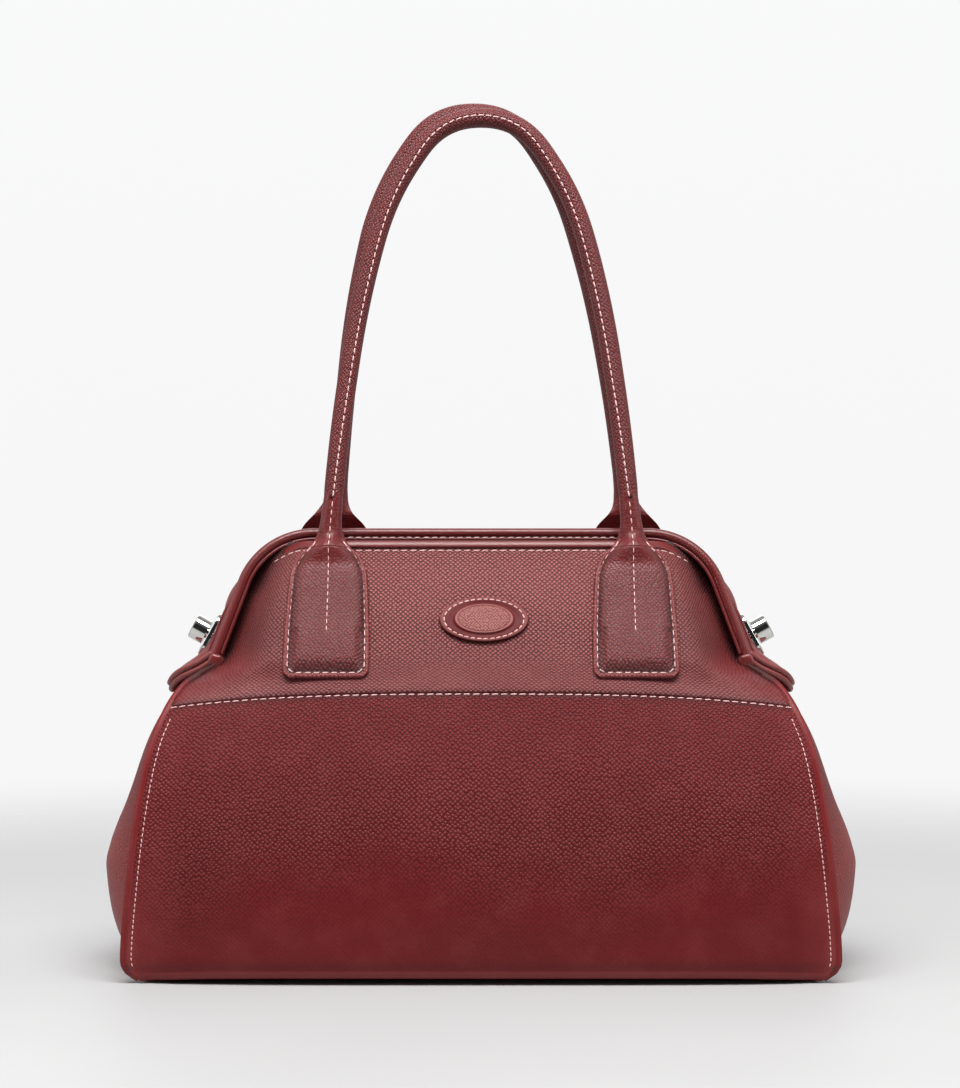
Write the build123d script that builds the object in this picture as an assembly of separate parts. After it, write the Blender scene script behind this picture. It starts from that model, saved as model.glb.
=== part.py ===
from build123d import *
import math
import os

# Doctor bag. Millimetres, +Z up, front towards -Y.
# The origin is on the ground, under the middle of the bag.

# ---------- driving dimensions ----------
PANEL_T = 2.2          # leather panel with its backing

# front panel, one row per height: z, half width, half width of the flat middle,
# depth at the middle, depth at the side edge
PANEL_ROWS = [
    (2.5, 167.0, 132.0, 72.0, 66.0),
    (12.0, 174.0, 135.0, 75.0, 67.0),
    (60.0, 169.9, 130.0, 77.0, 68.0),
    (100.0, 164.2, 124.0, 72.0, 62.0),
    (129.0, 155.7, 114.0, 63.0, 52.0),
    (141.0, 149.5, 106.0, 58.0, 43.0),
]
YOKE_ROWS = [
    (141.3, 149.0, 106.0, 57.8, 42.5),
    (157.0, 128.0, 99.0, 49.0, 31.0),
    (175.0, 120.5, 93.0, 39.5, 22.0),
    (200.0, 109.0, 88.0, 26.5, 15.0),
    (210.5, 100.0, 84.0, 19.5, 12.5),
]
# gusset: z, edge x, crown x, half depth
GUSSET_ROWS = [
    (5.0, 165.0, 172.0, 62.0),
    (20.0, 171.0, 184.5, 64.0),
    (45.0, 169.0, 190.0, 65.0),
    (60.0, 167.0, 188.5, 65.0),
    (80.0, 164.5, 181.5, 62.0),
    (103.0, 160.5, 173.0, 58.0),
    (123.0, 155.0, 164.0, 51.0),
    (136.0, 150.0, 156.0, 43.0),
]
# end wing: z, edge x, crown x, half depth
WING_ROWS = [
    (206.0, 111.5, 113.0, 4.5),
    (190.0, 120.5, 124.0, 9.0),
    (168.0, 130.0, 135.9, 15.5),
    (156.0, 134.5, 146.0, 17.0),
    (148.0, 144.5, 154.5, 14.5),
    (142.0, 153.0, 156.8, 7.5),
]
# rolled hem round the wing's free end: x, y, z at its ends and in its middle
HEM_END = (137.5, 18.5, 152.0)
HEM_MIDDLE = (158.2, 0.0, 137.8)
HEM_R = 1.7
# lining: z, half width, half depth
LINING_ROWS = [
    (9.0, 160.0, 60.0),
    (60.0, 162.0, 62.0),
    (100.0, 150.0, 58.0),
    (132.0, 118.0, 49.0),
]
LINING_T = 1.0

BASE_Z = 2.5           # underside of the base leather
BOARD_L = 310.0
BOARD_W = 112.0
BOARD_T = 3.0
BOARD_CORNER = 10.0
FOOT_X = 141.0
FOOT_Y = 52.0
FOOT_R = 5.0
FOOT_ROUND = 1.0
RIVET_R = 1.2
RIVET_HOLE_R = 1.3
RIVET_HEAD_R = 2.6
RIVET_HEAD_T = 0.6

FRAME_TOP_Z = 218.5    # centre of the rolled top bar
FRAME_TOP_Y = 9.0
FRAME_END_Z = 157.3
FRAME_END_Y = 24.0
FRAME_END_X = 133.4
FRAME_CORNER_X = 111.2
FRAME_CORNER_R = 38.0
ROD_R = 1.5
ROLL_R = 2.5
ROLL_BORE_R = 1.6

BINDING_L = 168.0      # turned leather strip along the top bar
BINDING_T = 2.0
BINDING_H = 3.2
BINDING_Y = 17.2
BINDING_Z = 212.5
BINDING_TILT = 25.0
BINDING_ROUND = 0.8

HINGE_Z = 152.0
PIN_R = 2.0
PIN_HEAD_R = 3.2
PIN_HEAD_T = 1.0
PIN_PLAY = 0.3         # between the outer link and the pin's head
LINK_BORE_R = 2.05
LINK_T = 1.5
LINK_H = 6.0
LINK_RISE = 1.0        # middle of the link's bar above the pin
LINK_EYE_R = 5.0
LINK_BLOCK_X = 134.9   # outer face of the block at the end of the arm
LINK_BLOCK_H = 4.0
LINK_BLOCK_TOP = 156.4
ROD_STUB_L = 2.2
FRONT_LINK_X = 129.0   # inner face of the front link
REAR_LINK_X = 127.0
BRACKET_X = 124.0
BRACKET_T = 2.0
BRACKET_W = 18.0
BRACKET_BOTTOM_Z = 129.0
BRACKET_TOP_Z = 157.0
FLANGE_END_X = 152.0
FLANGE_W = 16.0
PIN_HOLE_R = 2.02

HANDLE_R = 5.0
CORE_R = 3.5
CORE_BORE_R = 3.6
HANDLE_Z = 222.0       # the neck, where the front handle bends
HANDLE_Y = 20.5
HANDLE_TOP_Y = 6.5
# control points of one half of the handle, from the neck to the top: x, height
HANDLE_POINTS = [(75.5, 222.0), (71.0, 270.0), (61.5, 336.0), (47.0, 389.0), (20.0, 429.3)]
HANDLE_RADII = [880.0, 500.0, 130.0, 33.0]
REAR_HANDLE_RISE = 4.5
REAR_HANDLE_LEAN = [0.0, -0.5, -3.2, -4.4, -3.5]

TAB_X = 76.0
TAB_T = 3.5
TAB_BOTTOM_Z = 147.0
TAB_FOOT_Y = 55.6      # back face of the tab at its bottom edge
TAB_SLOPE = math.radians(27.8)
TAB_CORNER = 5.0
TAB_HALF_FOOT = 21.3
TAB_SIDE = [(20.5, 33.0), (19.4, 50.0), (16.4, 58.0), (9.2, 65.5), (5.9, 73.0)]
REAR_TAB_RISE = 4.2

BADGE_Z = 175.0
BADGE_X = 1.5
BADGE_Y = 39.8         # back face of the patch
BADGE_W = 44.0
BADGE_H = 21.5
BADGE_T = 2.5
BADGE_ROUND = 0.8
MEDAL_W = 29.0
MEDAL_H = 12.0
MEDAL_T = 1.0
MEDAL_ROUND = 0.5

KNOB_TILT = math.radians(29.0)   # knob axis above horizontal
KNOB_SEAT_X = 136.9              # wing surface under the knob
KNOB_SEAT_Z = 166.4
KNOB_R = 6.5
KNOB_L = 7.6
KNOB_CHAMFER = 0.5
NECK_R = 3.0
NECK_L = 1.0
SHAFT_R = 1.95
SHAFT_BORE_R = 2.0
COLLAR_R = 3.0
COLLAR_T = 0.8
PLATE_L = 24.0
PLATE_W = 13.0
PLATE_T = 2.0
PLATE_LIFT = 0.05
PLATE_ROUND = 0.7
SEAT_MARGIN = 1.5      # flat on the wing round the plate
SEAT_DEPTH = 10.0
WING_HOLE_R = 2.3
NUT_DEPTH = 3.4        # top of the nut below the wing surface
NUT_R = 4.0
NUT_T = 2.0
RUN_GAP = 0.12

MIRROR_Y = Plane.XZ
MIRROR_X = Plane.YZ


def save(solid, node):
    solid.label = node
    export_step(solid, f"parts/{node}.step")


# ---------- leather body ----------
def sheet_row(z, half, flat, mid, edge, thick=PANEL_T):
    """Closed outline of a bent sheet at one height, front side."""
    outer = [(-half, -edge), (-flat, -mid), (flat, -mid), (half, -edge)]
    inner = [(x, y + thick) for x, y in reversed(outer)]
    points = [Vector(x, y, z) for x, y in outer + inner]
    return make_face(Polyline(*points, close=True))


def bent_sheet(rows):
    return loft([sheet_row(*row) for row in rows], ruled=True)


def crescent(z, edge_x, crown_x, half_y, thick=PANEL_T):
    """Closed crescent at one height: an arc that bulges towards +X."""
    outer = ThreePointArc((edge_x, -half_y, z), (crown_x, 0, z), (edge_x, half_y, z))
    inner = ThreePointArc((edge_x - thick, half_y, z), (crown_x - thick, 0, z), (edge_x - thick, -half_y, z))
    sides = [Line(outer @ 1, inner @ 0), Line(inner @ 1, outer @ 0)]
    return make_face([outer, sides[0], inner, sides[1]])


def curved_end(rows):
    return loft([crescent(*row) for row in rows], ruled=True)


def foot_places():
    return [(sx * FOOT_X, sy * FOOT_Y) for sx in (-1, 1) for sy in (-1, 1)]


def make_wrap():
    """Front, base and rear leather, one piece."""
    front = bent_sheet(PANEL_ROWS)
    rear = mirror(front, about=MIRROR_Y)
    z, half, flat, mid, edge = PANEL_ROWS[0]
    front_edge = [(-half, -edge), (-flat, -mid), (flat, -mid), (half, -edge)]
    rear_edge = [(x, -y) for x, y in reversed(front_edge)]
    outline = make_face(Polyline(*(front_edge + rear_edge), close=True))
    base = Pos(0, 0, z) * extrude(outline, PANEL_T)
    wrap = front + rear + base
    for x, y in foot_places():
        wrap -= Pos(x, y, BASE_Z + PANEL_T / 2) * Cylinder(RIVET_HOLE_R, 2 * PANEL_T)
    return wrap


def make_lining():
    def tub(inset, drop):
        faces = []
        for z, half_x, half_y in LINING_ROWS:
            section = Rectangle(2 * (half_x - inset), 2 * (half_y - inset))
            faces.append(Pos(0, 0, z) * section)
        shape = loft(faces, ruled=True)
        return Pos(0, 0, drop) * shape

    return tub(0, 0) - tub(LINING_T, LINING_T)


def make_base_board():
    board_z = BASE_Z + PANEL_T + 0.1
    board = Pos(0, 0, board_z + BOARD_T / 2) * Box(BOARD_L, BOARD_W, BOARD_T)
    board = fillet(board.edges().filter_by(Axis.Z), BOARD_CORNER)
    for x, y in foot_places():
        board -= Pos(x, y, board_z) * Cylinder(RIVET_HOLE_R, 4 * BOARD_T)
    return board


def make_feet():
    foot = Pos(0, 0, BASE_Z / 2) * Cylinder(FOOT_R, BASE_Z)
    foot = fillet(foot.edges().sort_by(Axis.Z)[0], FOOT_ROUND)
    return Compound([Pos(x, y, 0) * foot for x, y in foot_places()])


def make_rivets():
    shank_l = PANEL_T + BOARD_T + 0.2
    shank = Pos(0, 0, BASE_Z + shank_l / 2) * Cylinder(RIVET_R, shank_l)
    head = Pos(0, 0, BASE_Z + shank_l + RIVET_HEAD_T / 2) * Cylinder(RIVET_HEAD_R, RIVET_HEAD_T)
    return Compound([Pos(x, y, 0) * (shank + head) for x, y in foot_places()])


def make_wing():
    wing = curved_end(WING_ROWS)
    seat = knob_plane(SEAT_DEPTH / 2) * Box(PLATE_L + 2 * SEAT_MARGIN, PLATE_W + 2 * SEAT_MARGIN, SEAT_DEPTH)
    hole = knob_plane(0) * Cylinder(WING_HOLE_R, 2 * SEAT_DEPTH)
    return wing - seat - hole


def make_hem():
    """Rolled edge round the free end of the wing."""
    x, y, z = HEM_END
    path = ThreePointArc((x, -y, z), HEM_MIDDLE, (x, y, z))
    return swept_round(path, HEM_R)


# ---------- turn knobs ----------
def knob_plane(offset):
    """Plane across the knob axis, a distance above the wing surface."""
    normal = Vector(math.cos(KNOB_TILT), 0, math.sin(KNOB_TILT))
    seat = Vector(KNOB_SEAT_X, 0, KNOB_SEAT_Z)
    along = Vector(math.sin(KNOB_TILT), 0, -math.cos(KNOB_TILT))
    return Plane(origin=seat + normal * offset, x_dir=along, z_dir=normal)


def make_knob_plate():
    plate = extrude(SlotOverall(PLATE_L, PLATE_W), PLATE_T)
    top_edges = plate.edges().group_by(Axis.Z)[-1]
    plate = fillet(top_edges, PLATE_ROUND)
    plate -= Cylinder(SHAFT_BORE_R, 3 * PLATE_T)
    return knob_plane(PLATE_LIFT) * plate


def make_knob_nut():
    nut = Cylinder(NUT_R, NUT_T) - Cylinder(SHAFT_BORE_R, 2 * NUT_T)
    return knob_plane(-NUT_DEPTH - NUT_T / 2) * nut


def make_turn_knob():
    neck_z = PLATE_T + PLATE_LIFT + RUN_GAP
    barrel_z = neck_z + NECK_L
    barrel = Pos(0, 0, barrel_z + KNOB_L / 2) * Cylinder(KNOB_R, KNOB_L)
    barrel = chamfer(barrel.edges().sort_by(Axis.Z)[-1], KNOB_CHAMFER)
    neck = Pos(0, 0, neck_z + NECK_L / 2) * Cylinder(NECK_R, NECK_L)
    shaft_end = -NUT_DEPTH - NUT_T - RUN_GAP - COLLAR_T
    shaft_l = neck_z - shaft_end
    shaft = Pos(0, 0, shaft_end + shaft_l / 2) * Cylinder(SHAFT_R, shaft_l)
    collar = Pos(0, 0, shaft_end + COLLAR_T / 2) * Cylinder(COLLAR_R, COLLAR_T)
    return knob_plane(0) * (barrel + neck + shaft + collar)


# ---------- frames, modelled at the front and mirrored to the rear ----------
def frame_path():
    rise = Vector(0, FRAME_END_Y - FRAME_TOP_Y, FRAME_TOP_Z - FRAME_END_Z)
    arm_drop = rise.length
    up = rise.normalized()
    plane = Plane(origin=(0, -FRAME_TOP_Y, FRAME_TOP_Z), x_dir=(1, 0, 0), z_dir=Vector(1, 0, 0).cross(up))
    points = [
        (-FRAME_END_X, -arm_drop),
        (-FRAME_CORNER_X, 0),
        (FRAME_CORNER_X, 0),
        (FRAME_END_X, -arm_drop),
    ]
    return plane * FilletPolyline(*points, radius=FRAME_CORNER_R)


def swept_round(path, radius):
    section = Plane(origin=path @ 0, z_dir=path % 0) * Circle(radius)
    return sweep(section, path=path)


def swept_tube(path, radius, bore):
    section = Plane(origin=path @ 0, z_dir=path % 0) * (Circle(radius) - Circle(bore))
    return sweep(section, path=path)


def make_top_binding():
    strip = Pos(0, -BINDING_Y, BINDING_Z) * Rot(-BINDING_TILT, 0, 0) * Box(BINDING_L, BINDING_T, BINDING_H)
    return fillet(strip.edges().filter_by(Axis.X), BINDING_ROUND)


def make_link(inner_x, side):
    """Flat link from the end of the frame arm to the hinge pin. side is -1 or 1."""
    block_l = LINK_BLOCK_X - inner_x
    block_z = LINK_BLOCK_TOP - LINK_BLOCK_H / 2
    block = Pos(inner_x + block_l / 2, -FRAME_END_Y, block_z) * Box(block_l, LINK_BLOCK_H, LINK_BLOCK_H)
    path = frame_path()
    stub = Plane(origin=path @ 1, z_dir=path % 1) * Pos(0, 0, ROD_STUB_L / 2) * Cylinder(ROD_R, ROD_STUB_L)
    bar = Pos(inner_x + LINK_T / 2, -FRAME_END_Y / 2, HINGE_Z + LINK_RISE) * Box(LINK_T, FRAME_END_Y, LINK_H)
    eye = Pos(inner_x + LINK_T / 2, 0, HINGE_Z) * Rot(0, 90, 0) * Cylinder(LINK_EYE_R, LINK_T)
    bore = Pos(inner_x, 0, HINGE_Z) * Rot(0, 90, 0) * Cylinder(LINK_BORE_R, 4 * LINK_T)
    link = block + stub + bar + eye - bore
    return link if side > 0 else mirror(link, about=MIRROR_X)


def make_bracket():
    """Upright plate with the pin's hole and a flange under it."""
    plate_z = (BRACKET_BOTTOM_Z + BRACKET_TOP_Z) / 2
    plate_h = BRACKET_TOP_Z - BRACKET_BOTTOM_Z
    plate = Pos(BRACKET_X + BRACKET_T / 2, 0, plate_z) * Box(BRACKET_T, BRACKET_W, plate_h)
    flange_x = (BRACKET_X + FLANGE_END_X) / 2
    flange_l = FLANGE_END_X - BRACKET_X
    flange = Pos(flange_x, 0, BRACKET_BOTTOM_Z + BRACKET_T / 2) * Box(flange_l, FLANGE_W, BRACKET_T)
    bore = Pos(BRACKET_X, 0, HINGE_Z) * Rot(0, 90, 0) * Cylinder(PIN_HOLE_R, 4 * BRACKET_T)
    return plate + flange - bore


def make_pin():
    start = BRACKET_X - PIN_PLAY
    end = FRONT_LINK_X + LINK_T + PIN_PLAY
    shank = Pos((start + end) / 2, 0, HINGE_Z) * Rot(0, 90, 0) * Cylinder(PIN_R, end - start)
    head = Rot(0, 90, 0) * Cylinder(PIN_HEAD_R, PIN_HEAD_T)
    inner_head = Pos(start - PIN_HEAD_T / 2, 0, HINGE_Z) * head
    outer_head = Pos(end + PIN_HEAD_T / 2, 0, HINGE_Z) * head
    return shank + inner_head + outer_head


def make_tab(x, rise):
    """Bell-shaped tab: straight sides, then curving in to the handle neck."""
    right = [
        Line((0, 0), (TAB_HALF_FOOT - TAB_CORNER, 0)),
        RadiusArc((TAB_HALF_FOOT - TAB_CORNER, 0), (TAB_HALF_FOOT, TAB_CORNER), -TAB_CORNER),
        Line((TAB_HALF_FOOT, TAB_CORNER), TAB_SIDE[0]),
        Spline(*TAB_SIDE, tangents=[(-0.03, 1), (-0.1, 1)]),
        Line(TAB_SIDE[-1], (0, TAB_SIDE[-1][1])),
    ]
    left = [mirror(edge, about=Plane.YZ) for edge in right]
    outline = make_face(right + left)
    stretch = 1 / math.cos(TAB_SLOPE)
    up = Vector(0, math.sin(TAB_SLOPE), math.cos(TAB_SLOPE))
    plane = Plane(
        origin=(x, -TAB_FOOT_Y + rise * math.tan(TAB_SLOPE), TAB_BOTTOM_Z + rise),
        x_dir=(1, 0, 0),
        z_dir=Vector(1, 0, 0).cross(up),
    )
    plate = extrude(outline, TAB_T)
    plate = scale(plate, by=(1, stretch, 1))
    return plane * plate


def make_badge():
    slope = Plane(
        origin=(BADGE_X, -BADGE_Y, BADGE_Z),
        x_dir=(1, 0, 0),
        z_dir=(0, -math.cos(TAB_SLOPE), math.sin(TAB_SLOPE)),
    )
    patch = extrude(Ellipse(BADGE_W / 2, BADGE_H / 2), BADGE_T)
    patch = fillet(patch.edges().group_by(Axis.Z)[-1], BADGE_ROUND)
    medal = Pos(0, 0, BADGE_T) * extrude(Ellipse(MEDAL_W / 2, MEDAL_H / 2), MEDAL_T)
    medal = fillet(medal.edges().group_by(Axis.Z)[-1], MEDAL_ROUND)
    return slope * patch, slope * medal


# ---------- handles ----------
def handle_path(rise=0.0, lean=None):
    """Centre line in a plane that leans in from the neck to the top."""
    lean = lean or [0.0] * len(HANDLE_POINTS)
    run = Vector(0, HANDLE_Y - HANDLE_TOP_Y, HANDLE_POINTS[-1][1] - HANDLE_Z)
    up = run.normalized()
    plane = Plane(origin=(0, -HANDLE_Y, HANDLE_Z + rise), x_dir=(1, 0, 0), z_dir=Vector(1, 0, 0).cross(up))
    stretch = 1 / up.Z
    right = [(x + dx, (z - HANDLE_Z) * stretch) for (x, z), dx in zip(HANDLE_POINTS, lean)]
    left = [(-x + dx, (z - HANDLE_Z) * stretch) for (x, z), dx in zip(HANDLE_POINTS, lean)]
    radii = HANDLE_RADII + HANDLE_RADII[::-1]
    return plane * FilletPolyline(*right, *reversed(left), radius=radii)


def main():
    os.makedirs("parts", exist_ok=True)

    save(make_wrap(), "body_wrap")
    save(make_lining(), "lining")
    save(make_base_board(), "base_board")
    save(make_feet(), "base_feet")
    save(make_rivets(), "foot_rivets")

    right_pieces = {
        "gusset": curved_end(GUSSET_ROWS),
        "end_wing": make_wing(),
        "wing_hem": make_hem(),
        "knob_plate": make_knob_plate(),
        "knob_nut": make_knob_nut(),
        "turn_knob": make_turn_knob(),
        "hinge_bracket": make_bracket(),
        "hinge_pin": make_pin(),
    }
    for name, piece in right_pieces.items():
        save(piece, f"right_{name}")
        save(mirror(piece, about=MIRROR_X), f"left_{name}")

    path = frame_path()
    frame_pieces = {
        "frame_rod": swept_round(path, ROD_R),
        "frame_roll": swept_tube(path, ROLL_R, ROLL_BORE_R),
        "top_binding": make_top_binding(),
        "yoke": bent_sheet(YOKE_ROWS),
    }
    for name, piece in frame_pieces.items():
        save(piece, f"front_{name}")
        save(mirror(piece, about=MIRROR_Y), f"rear_{name}")

    for side, sign in (("left", -1), ("right", 1)):
        save(make_link(FRONT_LINK_X, sign), f"front_{side}_hinge_link")
        save(mirror(make_link(REAR_LINK_X, sign), about=MIRROR_Y), f"rear_{side}_hinge_link")
        save(make_tab(sign * TAB_X, 0), f"front_{side}_handle_tab")
        save(mirror(make_tab(sign * TAB_X, REAR_TAB_RISE), about=MIRROR_Y), f"rear_{side}_handle_tab")

    patch, medal = make_badge()
    save(patch, "badge_patch")
    save(medal, "badge_medallion")

    front = handle_path()
    rear = handle_path(REAR_HANDLE_RISE, REAR_HANDLE_LEAN)
    save(swept_tube(front, HANDLE_R, CORE_BORE_R), "front_handle_cover")
    save(swept_round(front, CORE_R), "front_handle_core")
    save(mirror(swept_tube(rear, HANDLE_R, CORE_BORE_R), about=MIRROR_Y), "rear_handle_cover")
    save(mirror(swept_round(rear, CORE_R), about=MIRROR_Y), "rear_handle_core")


main()
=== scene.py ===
import math

import bmesh
import bpy
import numpy as np
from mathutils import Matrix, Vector


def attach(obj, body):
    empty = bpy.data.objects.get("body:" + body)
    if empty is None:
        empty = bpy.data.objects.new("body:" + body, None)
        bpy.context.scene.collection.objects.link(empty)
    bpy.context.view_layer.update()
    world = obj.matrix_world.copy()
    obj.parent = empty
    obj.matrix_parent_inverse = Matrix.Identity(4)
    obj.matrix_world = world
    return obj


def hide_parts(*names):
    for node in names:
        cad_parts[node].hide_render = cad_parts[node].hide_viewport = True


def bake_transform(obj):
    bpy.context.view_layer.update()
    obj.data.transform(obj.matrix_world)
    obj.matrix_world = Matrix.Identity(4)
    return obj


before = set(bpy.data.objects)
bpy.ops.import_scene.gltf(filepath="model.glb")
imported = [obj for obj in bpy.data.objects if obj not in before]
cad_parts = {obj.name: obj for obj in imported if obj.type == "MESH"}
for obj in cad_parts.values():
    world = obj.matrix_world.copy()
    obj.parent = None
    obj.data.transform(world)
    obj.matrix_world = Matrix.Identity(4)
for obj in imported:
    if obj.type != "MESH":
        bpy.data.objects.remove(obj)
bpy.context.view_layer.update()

# A leather doctor bag. Lengths are millimetres until a mesh is made; the frame is in metres.
# x to the right, y to the rear, z up, ground at z = 0. A side is -1 at the front and +1 at the rear;
# a hand is -1 at the left and +1 at the right.

MM = 0.001
FRONT, REAR = -1, 1
SIDES = {FRONT: "front", REAR: "rear"}
HANDS = {-1: "left", 1: "right"}
rng = np.random.default_rng(7)


# ---------------------------------------------------------------- curves
def smooth(low, high, x):
    """Smooth step from 0 at low to 1 at high; it falls with x where low is the larger."""
    t = np.clip((np.asarray(x, float) - low) / (high - low), 0, 1)
    return t * t * (3 - 2 * t)


class Profile:
    """Smooth curve through (key, value) rows, without overshoot and straight beyond its ends."""

    def __init__(self, rows):
        self.key, self.value = np.array(rows, float).T
        steps = np.diff(self.value) / np.diff(self.key)
        self.slope = np.concatenate([steps[:1], np.zeros(len(steps) - 1), steps[-1:]])
        for i, (a, b) in enumerate(zip(steps, steps[1:]), 1):
            self.slope[i] = 2 * a * b / (a + b) if a * b > 0 else 0.0

    def __call__(self, x):
        x = np.asarray(x, float)
        i = np.clip(np.searchsorted(self.key, x) - 1, 0, len(self.key) - 2)
        gap = self.key[i + 1] - self.key[i]
        t = (x - self.key[i]) / gap
        u = np.clip(t, 0, 1)
        first, last = gap * self.slope[i], gap * self.slope[i + 1]
        between = ((1 + 2 * u) * (1 - u) ** 2 * self.value[i] + u * (1 - u) ** 2 * first
                   + u * u * (3 - 2 * u) * self.value[i + 1] + u * u * (u - 1) * last)
        return between + np.minimum(t, 0) * first + np.maximum(t - 1, 0) * last


def unit(v):
    return v / np.maximum(np.linalg.norm(v, axis=-1, keepdims=True), 1e-9)


def tangents(path):
    return unit(np.gradient(path, axis=0))


def distance_along(path):
    return np.concatenate([[0], np.cumsum(np.linalg.norm(np.diff(path, axis=0), axis=1))])


def at_distance(path, run, where):
    """Points of a sampled line, or of values along it, at distances from its start."""
    return np.stack([np.interp(where, run, path[:, i]) for i in range(path.shape[1])], axis=1)


def fillet_path(points, radii, step=2.0):
    """Flat polyline with round corners, as sampled 2-D points."""
    points = np.array(points, float)
    out = [points[0]]
    for before, corner, after, radius in zip(points, points[1:], points[2:], radii):
        a, b = unit(before - corner), unit(after - corner)
        half = math.acos(np.clip(a @ b, -1, 1)) / 2
        reach = radius / math.tan(half)
        middle = corner + unit(a + b) * radius / math.sin(half)
        first, last = corner + a * reach - middle, corner + b * reach - middle
        turn = math.pi - 2 * half
        sign = np.sign(first[0] * last[1] - first[1] * last[0])
        for t in np.linspace(0, turn, max(2, int(radius * turn / step) + 1)):
            c, s = math.cos(sign * t), math.sin(sign * t)
            out.append(middle + (c * first[0] - s * first[1], s * first[0] + c * first[1]))
    out.append(points[-1])
    return np.array(out)


def resample(path, step):
    """The same line with even steps."""
    run = distance_along(path)
    count = max(2, int(round(run[-1] / step)) + 1)
    return at_distance(path, run, np.linspace(0, run[-1], count))


def soften(path, rounds):
    """Takes the small corners out of a sampled line; its ends stay."""
    path = path.copy()
    for _ in range(rounds):
        path[1:-1] = path[1:-1] * 0.5 + (path[:-2] + path[2:]) * 0.25
    return path


def groove(distance, depth, width):
    return depth * np.exp(-(distance / width) ** 2)


# ---------------------------------------------------------------- meshes
def turn_outward(mesh):
    bm = bmesh.new()
    bm.from_mesh(mesh)
    bmesh.ops.recalc_face_normals(bm, faces=bm.faces)
    bm.to_mesh(mesh)
    bm.free()


def make_piece(name, verts, faces, materials, uv=None, looks=None, face_material=None, flat=False, turn=True):
    """Object from verts in mm. uv (mm) and looks (grain strength, rubbing and painted sheen, painted shade)
    are one per vertex, or looks is one for all of them."""
    verts = np.asarray(verts, float).reshape(-1, 3)
    mesh = bpy.data.meshes.new(name)
    mesh.from_pydata((verts * MM).tolist(), [], faces)
    if uv is not None:
        layer = mesh.uv_layers.new(name="grain")
        loops = np.empty(len(mesh.loops), np.int32)
        mesh.loops.foreach_get("vertex_index", loops)
        layer.data.foreach_set("uv", (np.reshape(uv, (-1, 2)) * MM)[loops].astype(np.float32).ravel())
    if looks is not None:
        layer = mesh.color_attributes.new(name="looks", type="FLOAT_COLOR", domain="POINT")
        rgba = np.ones((len(verts), 4), np.float32)
        rgba[:, :3] = np.reshape(looks, (-1, 3))
        layer.data.foreach_set("color", rgba.ravel())
    for material in materials:
        mesh.materials.append(material)
    if face_material is not None:
        mesh.polygons.foreach_set("material_index", np.asarray(face_material, np.int32))
    if not flat:
        # end caps with many corners stay flat, so their border doesn't shade
        mesh.polygons.foreach_set("use_smooth", [len(f) < 7 for f in faces])
    mesh.update()
    if turn:
        turn_outward(mesh)
    obj = bpy.data.objects.new(name, mesh)
    bpy.context.scene.collection.objects.link(obj)
    return obj


def grid_faces(rows, cols, wrap=False, flip=False, base=0, caps=False):
    """Quads between the rows of a grid. wrap closes each row to a ring, and caps closes the two end rings."""
    faces = []
    for r in range(rows - 1):
        this = base + r * cols
        following = this + cols
        for c in range(cols if wrap else cols - 1):
            d = (c + 1) % cols
            f = (this + c, this + d, following + d, following + c)
            faces.append(f[::-1] if flip else f)
    if caps:
        faces.append(tuple(range(base, base + cols))[::-1])
        faces.append(tuple(range(base + (rows - 1) * cols, base + rows * cols)))
    return faces


def grid_uv(grid):
    """Lengths along the rows and down the middle, in mm, so that grain keeps its size."""
    down = np.linalg.norm(np.diff(grid, axis=0), axis=2).mean(axis=1)
    v = np.concatenate([[0], np.cumsum(down)])
    along = np.linalg.norm(np.diff(grid, axis=1), axis=2)
    u = np.concatenate([np.zeros((len(grid), 1)), np.cumsum(along, axis=1)], axis=1)
    u = u - u[:, [u.shape[1] // 2]]
    return np.stack([u, np.broadcast_to(v[:, None], u.shape)], axis=2)


def shell(name, grid, thickness, materials, outward, looks, rim=0.6):
    """Closed sheet with a thickness behind its face and round edges. materials: face, back, edge.
    outward is a vector, or one per point, that tells which way the face looks."""
    rows, cols = grid.shape[:2]
    count = rows * cols
    normal = unit(np.cross(np.gradient(grid, axis=1), np.gradient(grid, axis=0)))
    flip = (normal * np.asarray(outward)).sum() < 0
    normal = (-normal if flip else normal).reshape(-1, 3)
    face = grid.reshape(-1, 3)
    faces = grid_faces(rows, cols, flip=flip) + grid_faces(rows, cols, flip=not flip, base=count)
    kind = [0] * (len(faces) // 2) + [1] * (len(faces) // 2)
    top = list(range(cols))
    right = [r * cols + cols - 1 for r in range(1, rows)]
    bottom = [(rows - 1) * cols + c for c in range(cols - 2, -1, -1)]
    left = [r * cols for r in range(rows - 2, 0, -1)]
    ring = top + right + bottom + left
    border = face[ring]
    side = unit(np.cross(unit(np.roll(border, -1, axis=0) - np.roll(border, 1, axis=0)), normal[ring]))
    if ((border - face.mean(axis=0)) * side).sum() < 0:
        side = -side
    bulge = border - normal[ring] * thickness / 2 + side * rim
    for i, a in enumerate(ring):
        j = (i + 1) % len(ring)
        b, c, d = ring[j], 2 * count + j, 2 * count + i
        pair = [(b, a, d, c), (c, d, count + a, count + b)]
        faces += [f[::-1] for f in pair] if flip else pair
        kind += [2, 2]
    uv = grid_uv(grid).reshape(-1, 2)
    looks = np.broadcast_to(looks, grid.shape).reshape(-1, 3)
    return make_piece(name, np.concatenate([face, face - normal * thickness, bulge]), faces, materials,
                      np.concatenate([uv, uv, uv[ring]]), np.concatenate([looks, looks, looks[ring]]), kind)


def axes_along(path, up):
    """Tangent, side and up vectors that stay close to a given up."""
    t = tangents(path)
    side = unit(np.cross(t, np.broadcast_to(np.asarray(up, float), t.shape)))
    return t, side, unit(np.cross(side, t))


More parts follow.
